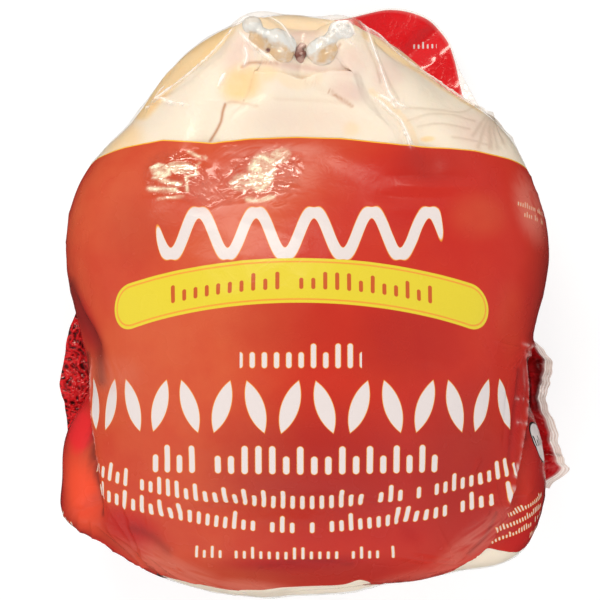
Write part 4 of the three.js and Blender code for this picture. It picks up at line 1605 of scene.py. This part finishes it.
class POULTRY_OT_stage(bpy.types.Operator):
    """Adds the floor, the lights and the camera"""
    bl_idname = "poultry.stage"
    bl_label = "Stage"

    def execute(self, context):
        self.add_floor()
        self.add_strip_light()
        self.add_studio()
        bpy.ops.object.camera_add(location=EYE / 1000, rotation=(0, 0, 0))
        camera = context.object
        camera.data.angle = VIEW_ANGLE
        context.scene.camera = camera
        context.scene.view_settings.view_transform = "Standard"
        return {"FINISHED"}

    @staticmethod
    def add_floor():
        bpy.ops.object.select_all(action="DESELECT")
        bpy.ops.mesh.primitive_plane_add(size=6, location=(0, 0, 0))
        floor = take_new("floor")
        material, nodes = new_material("pale floor")
        grain = nodes.noise(nodes.add("TexCoord", out="Object"), 40.0, 2.0)
        colour = nodes.mix(grain, (0.32, 0.32, 0.32, 1), (0.35, 0.35, 0.345, 1))
        dim = 0.33 * MIRRORED_LIGHT
        seen = nodes.mix(nodes.add("LightPath", out="Is Glossy Ray"), colour, (dim, dim, dim, 1))
        matt = {"Roughness": 0.9, "Specular_IOR_Level": 0.0}
        lit = nodes.principled(Base_Color=seen, **matt)
        glow = nodes.principled(
            Base_Color=colour, Emission_Color=(1, 1, 1, 1), Emission_Strength=0.75, **matt
        )
        put_out(nodes, nodes.blend(nodes.add("LightPath", out="Is Camera Ray"), lit, glow))
        floor.data.materials.append(material)

    @staticmethod
    def add_studio():
        """Pale walls, brightest at the foot and at the neck end, under a dark ceiling."""
        world = bpy.data.worlds.new("studio")
        bpy.context.scene.world = world
        world.use_nodes = True
        nodes = Nodes(world.node_tree)
        _, y, z = nodes.parts(nodes.add("TexCoord", out="Generated"))
        beside, behind, before = SIDE_SHARES
        towards_neck = nodes.step(y, 0.0, -0.8, 0.0, before - beside)
        share = nodes.math("ADD", nodes.step(y, 0.0, 0.8, beside, behind), towards_neck)
        wall = nodes.both(nodes.step(z, 0.0, 0.8, *WALL_LIGHT), share)
        overhead = nodes.step(z, 0.8, 0.93)
        light = nodes.both(wall, nodes.math("SUBTRACT", 1.0, overhead))
        light = nodes.math("MULTIPLY_ADD", overhead, CEILING_LIGHT, light)
        mirrored = nodes.add("LightPath", out="Is Glossy Ray")
        strength = nodes.both(light, nodes.step(mirrored, 0.0, 1.0, 1.0, MIRRORED_LIGHT))
        background = nodes.tree.nodes["Background"]
        background.inputs["Color"].default_value = (1, 1, 1, 1)
        nodes.feed(background.inputs["Strength"], strength)

    @staticmethod
    def add_strip_light():
        """A long soft light behind the legs, turned to the pack."""
        back = Vector(KEY_PLACE).normalized()
        along = Vector(KEY_AXIS)
        along = (along - along.dot(back) * back).normalized()
        turn = Matrix((along, back.cross(along), back)).transposed().to_euler()
        bpy.ops.object.light_add(type="AREA", location=KEY_PLACE, rotation=turn)
        light = bpy.context.object
        light.name = "key"
        light.data.shape = "RECTANGLE"
        light.data.size, light.data.size_y = KEY_SIZE
        light.data.energy = KEY_POWER
        light.data.color = KEY_COLOUR


# ---------------------------------------------------------------------------------------------------------
# The add-on.


def srgb(red, green, blue):
    """A colour given in bytes, as Blender's linear values."""
    shares = [value / 255 for value in (red, green, blue)]
    return tuple(s / 12.92 if s <= 0.04045 else ((s + 0.055) / 1.055) ** 2.4 for s in shares)


def length_property(name, description, millimetres):
    return bpy.props.FloatProperty(
        name=name, description=description, default=millimetres / 1000, min=0.05, max=0.6, unit="LENGTH"
    )


def colour_property(name, description, red, green, blue):
    return bpy.props.FloatVectorProperty(
        name=name, description=description, default=srgb(red, green, blue), size=3, min=0, max=1,
        subtype="COLOR",
    )


class PackSizes(bpy.types.PropertyGroup):
    width: length_property("Width", "Across the bird, from wing to wing", STANDARD[0])
    length: length_property("Length", "From the neck end to the hocks", STANDARD[1])
    height: length_property("Height", "From the table to the breast", STANDARD[2])


class PackColours(bpy.types.PropertyGroup):
    ink_warm: colour_property("Warm ink", "The print where it clings to the skin", 197, 43, 19)
    ink_pale: colour_property("Pale ink", "The print where pale skin shines through it", 205, 85, 47)
    # Deeper red where the film stands off, also used as painted shade.
    ink_deep: colour_property("Deep ink", "The print where the film stands off", 184, 14, 15)
    ink_free: colour_property("Loose ink", "The print on the loose film and the back", 222, 28, 34)
    ink_bright: colour_property("Bright ink", "The print where light falls through it", 234, 72, 38)
    # Painted shade: the colour of the ink in shade.
    ink_shade: colour_property("Shaded ink", "The print down in the film's valleys", 68, 8, 10)
    # Painted sheen: the colour of the film's reflection over the ink.
    ink_sheen: colour_property("Veiled ink", "The print under fine streaks in the film", 214, 126, 108)
    print_edge: colour_property("Print edge", "The thin line round the printed field", 240, 178, 52)
    # Painted highlight: the colour of the key light's glints on the crumpled film.
    glare: colour_property("Cloudy film", "The print where the film is crumpled and cloudy", 255, 247, 212)
    marks: colour_property("Marks", "The white marks on the print", 222, 211, 209)
    band: colour_property("Band", "The arched band", 222, 201, 46)
    band_line: colour_property("Band outline", "The line round the band and the marks", 232, 150, 50)
    band_marks: colour_property("Band marks", "The marks on the band", 196, 84, 30)
    # Milky film, also used for painted highlights along the tightest lines and for the film's painted glow.
    haze: colour_property("Film haze", "Folded clear film", 244, 236, 230)
    skin: colour_property("Skin", "Bare skin", 244, 229, 209)
    skin_pale: colour_property("Pale skin", "Skin where it lies over pale flesh", 238, 226, 214)
    fat: colour_property("Fat", "Skin with fat under it", 252, 212, 150)
    flush: colour_property("Flushed skin", "Skin with dark flesh under it", 229, 196, 184)
    # Painted shade: the colour at the bottom of a crease.
    seam: colour_property("Skin creases", "The bottom of a crease in the skin", 190, 128, 84)
    gristle: colour_property("Gristle", "The cartilage of the leg ends", 222, 222, 220)
    gristle_fat: colour_property("Gristle fat", "Fat on the leg ends", 212, 178, 136)
    marrow: colour_property("Marrow", "Marrow and blood", 104, 38, 26)
    tissue: colour_property("Vent tissue", "The tissue between the hocks", 152, 86, 72)


PIECES = (
    POULTRY_OT_bird, POULTRY_OT_leg_ends, POULTRY_OT_vent_tissue, POULTRY_OT_tight_film,
    POULTRY_OT_loose_film, POULTRY_OT_stage,
)


class POULTRY_PT_panel(bpy.types.Panel):
    bl_idname = "POULTRY_PT_panel"
    bl_label = "Bagged chicken"
    bl_space_type = "VIEW_3D"
    bl_region_type = "UI"
    bl_category = "Poultry"

    def draw(self, context):
        for settings in (context.scene.pack_sizes, context.scene.pack_colours):
            for name in settings.__annotations__:
                self.layout.prop(settings, name)
        for piece in PIECES:
            self.layout.operator(piece.bl_idname)


def register():
    for kind in (PackSizes, PackColours, *PIECES, POULTRY_PT_panel):
        bpy.utils.register_class(kind)
    bpy.types.Scene.pack_sizes = bpy.props.PointerProperty(type=PackSizes)
    bpy.types.Scene.pack_colours = bpy.props.PointerProperty(type=PackColours)


def unregister():
    del bpy.types.Scene.pack_colours
    del bpy.types.Scene.pack_sizes
    for kind in reversed((PackSizes, PackColours, *PIECES, POULTRY_PT_panel)):
        bpy.utils.unregister_class(kind)


def main():
    register()
    bpy.ops.poultry.bird()
    bpy.ops.poultry.leg_ends()
    bpy.ops.poultry.vent_tissue()
    bpy.ops.poultry.tight_film()
    bpy.ops.poultry.loose_film()
    bpy.ops.poultry.stage()


if __name__ == "__main__":
    main()
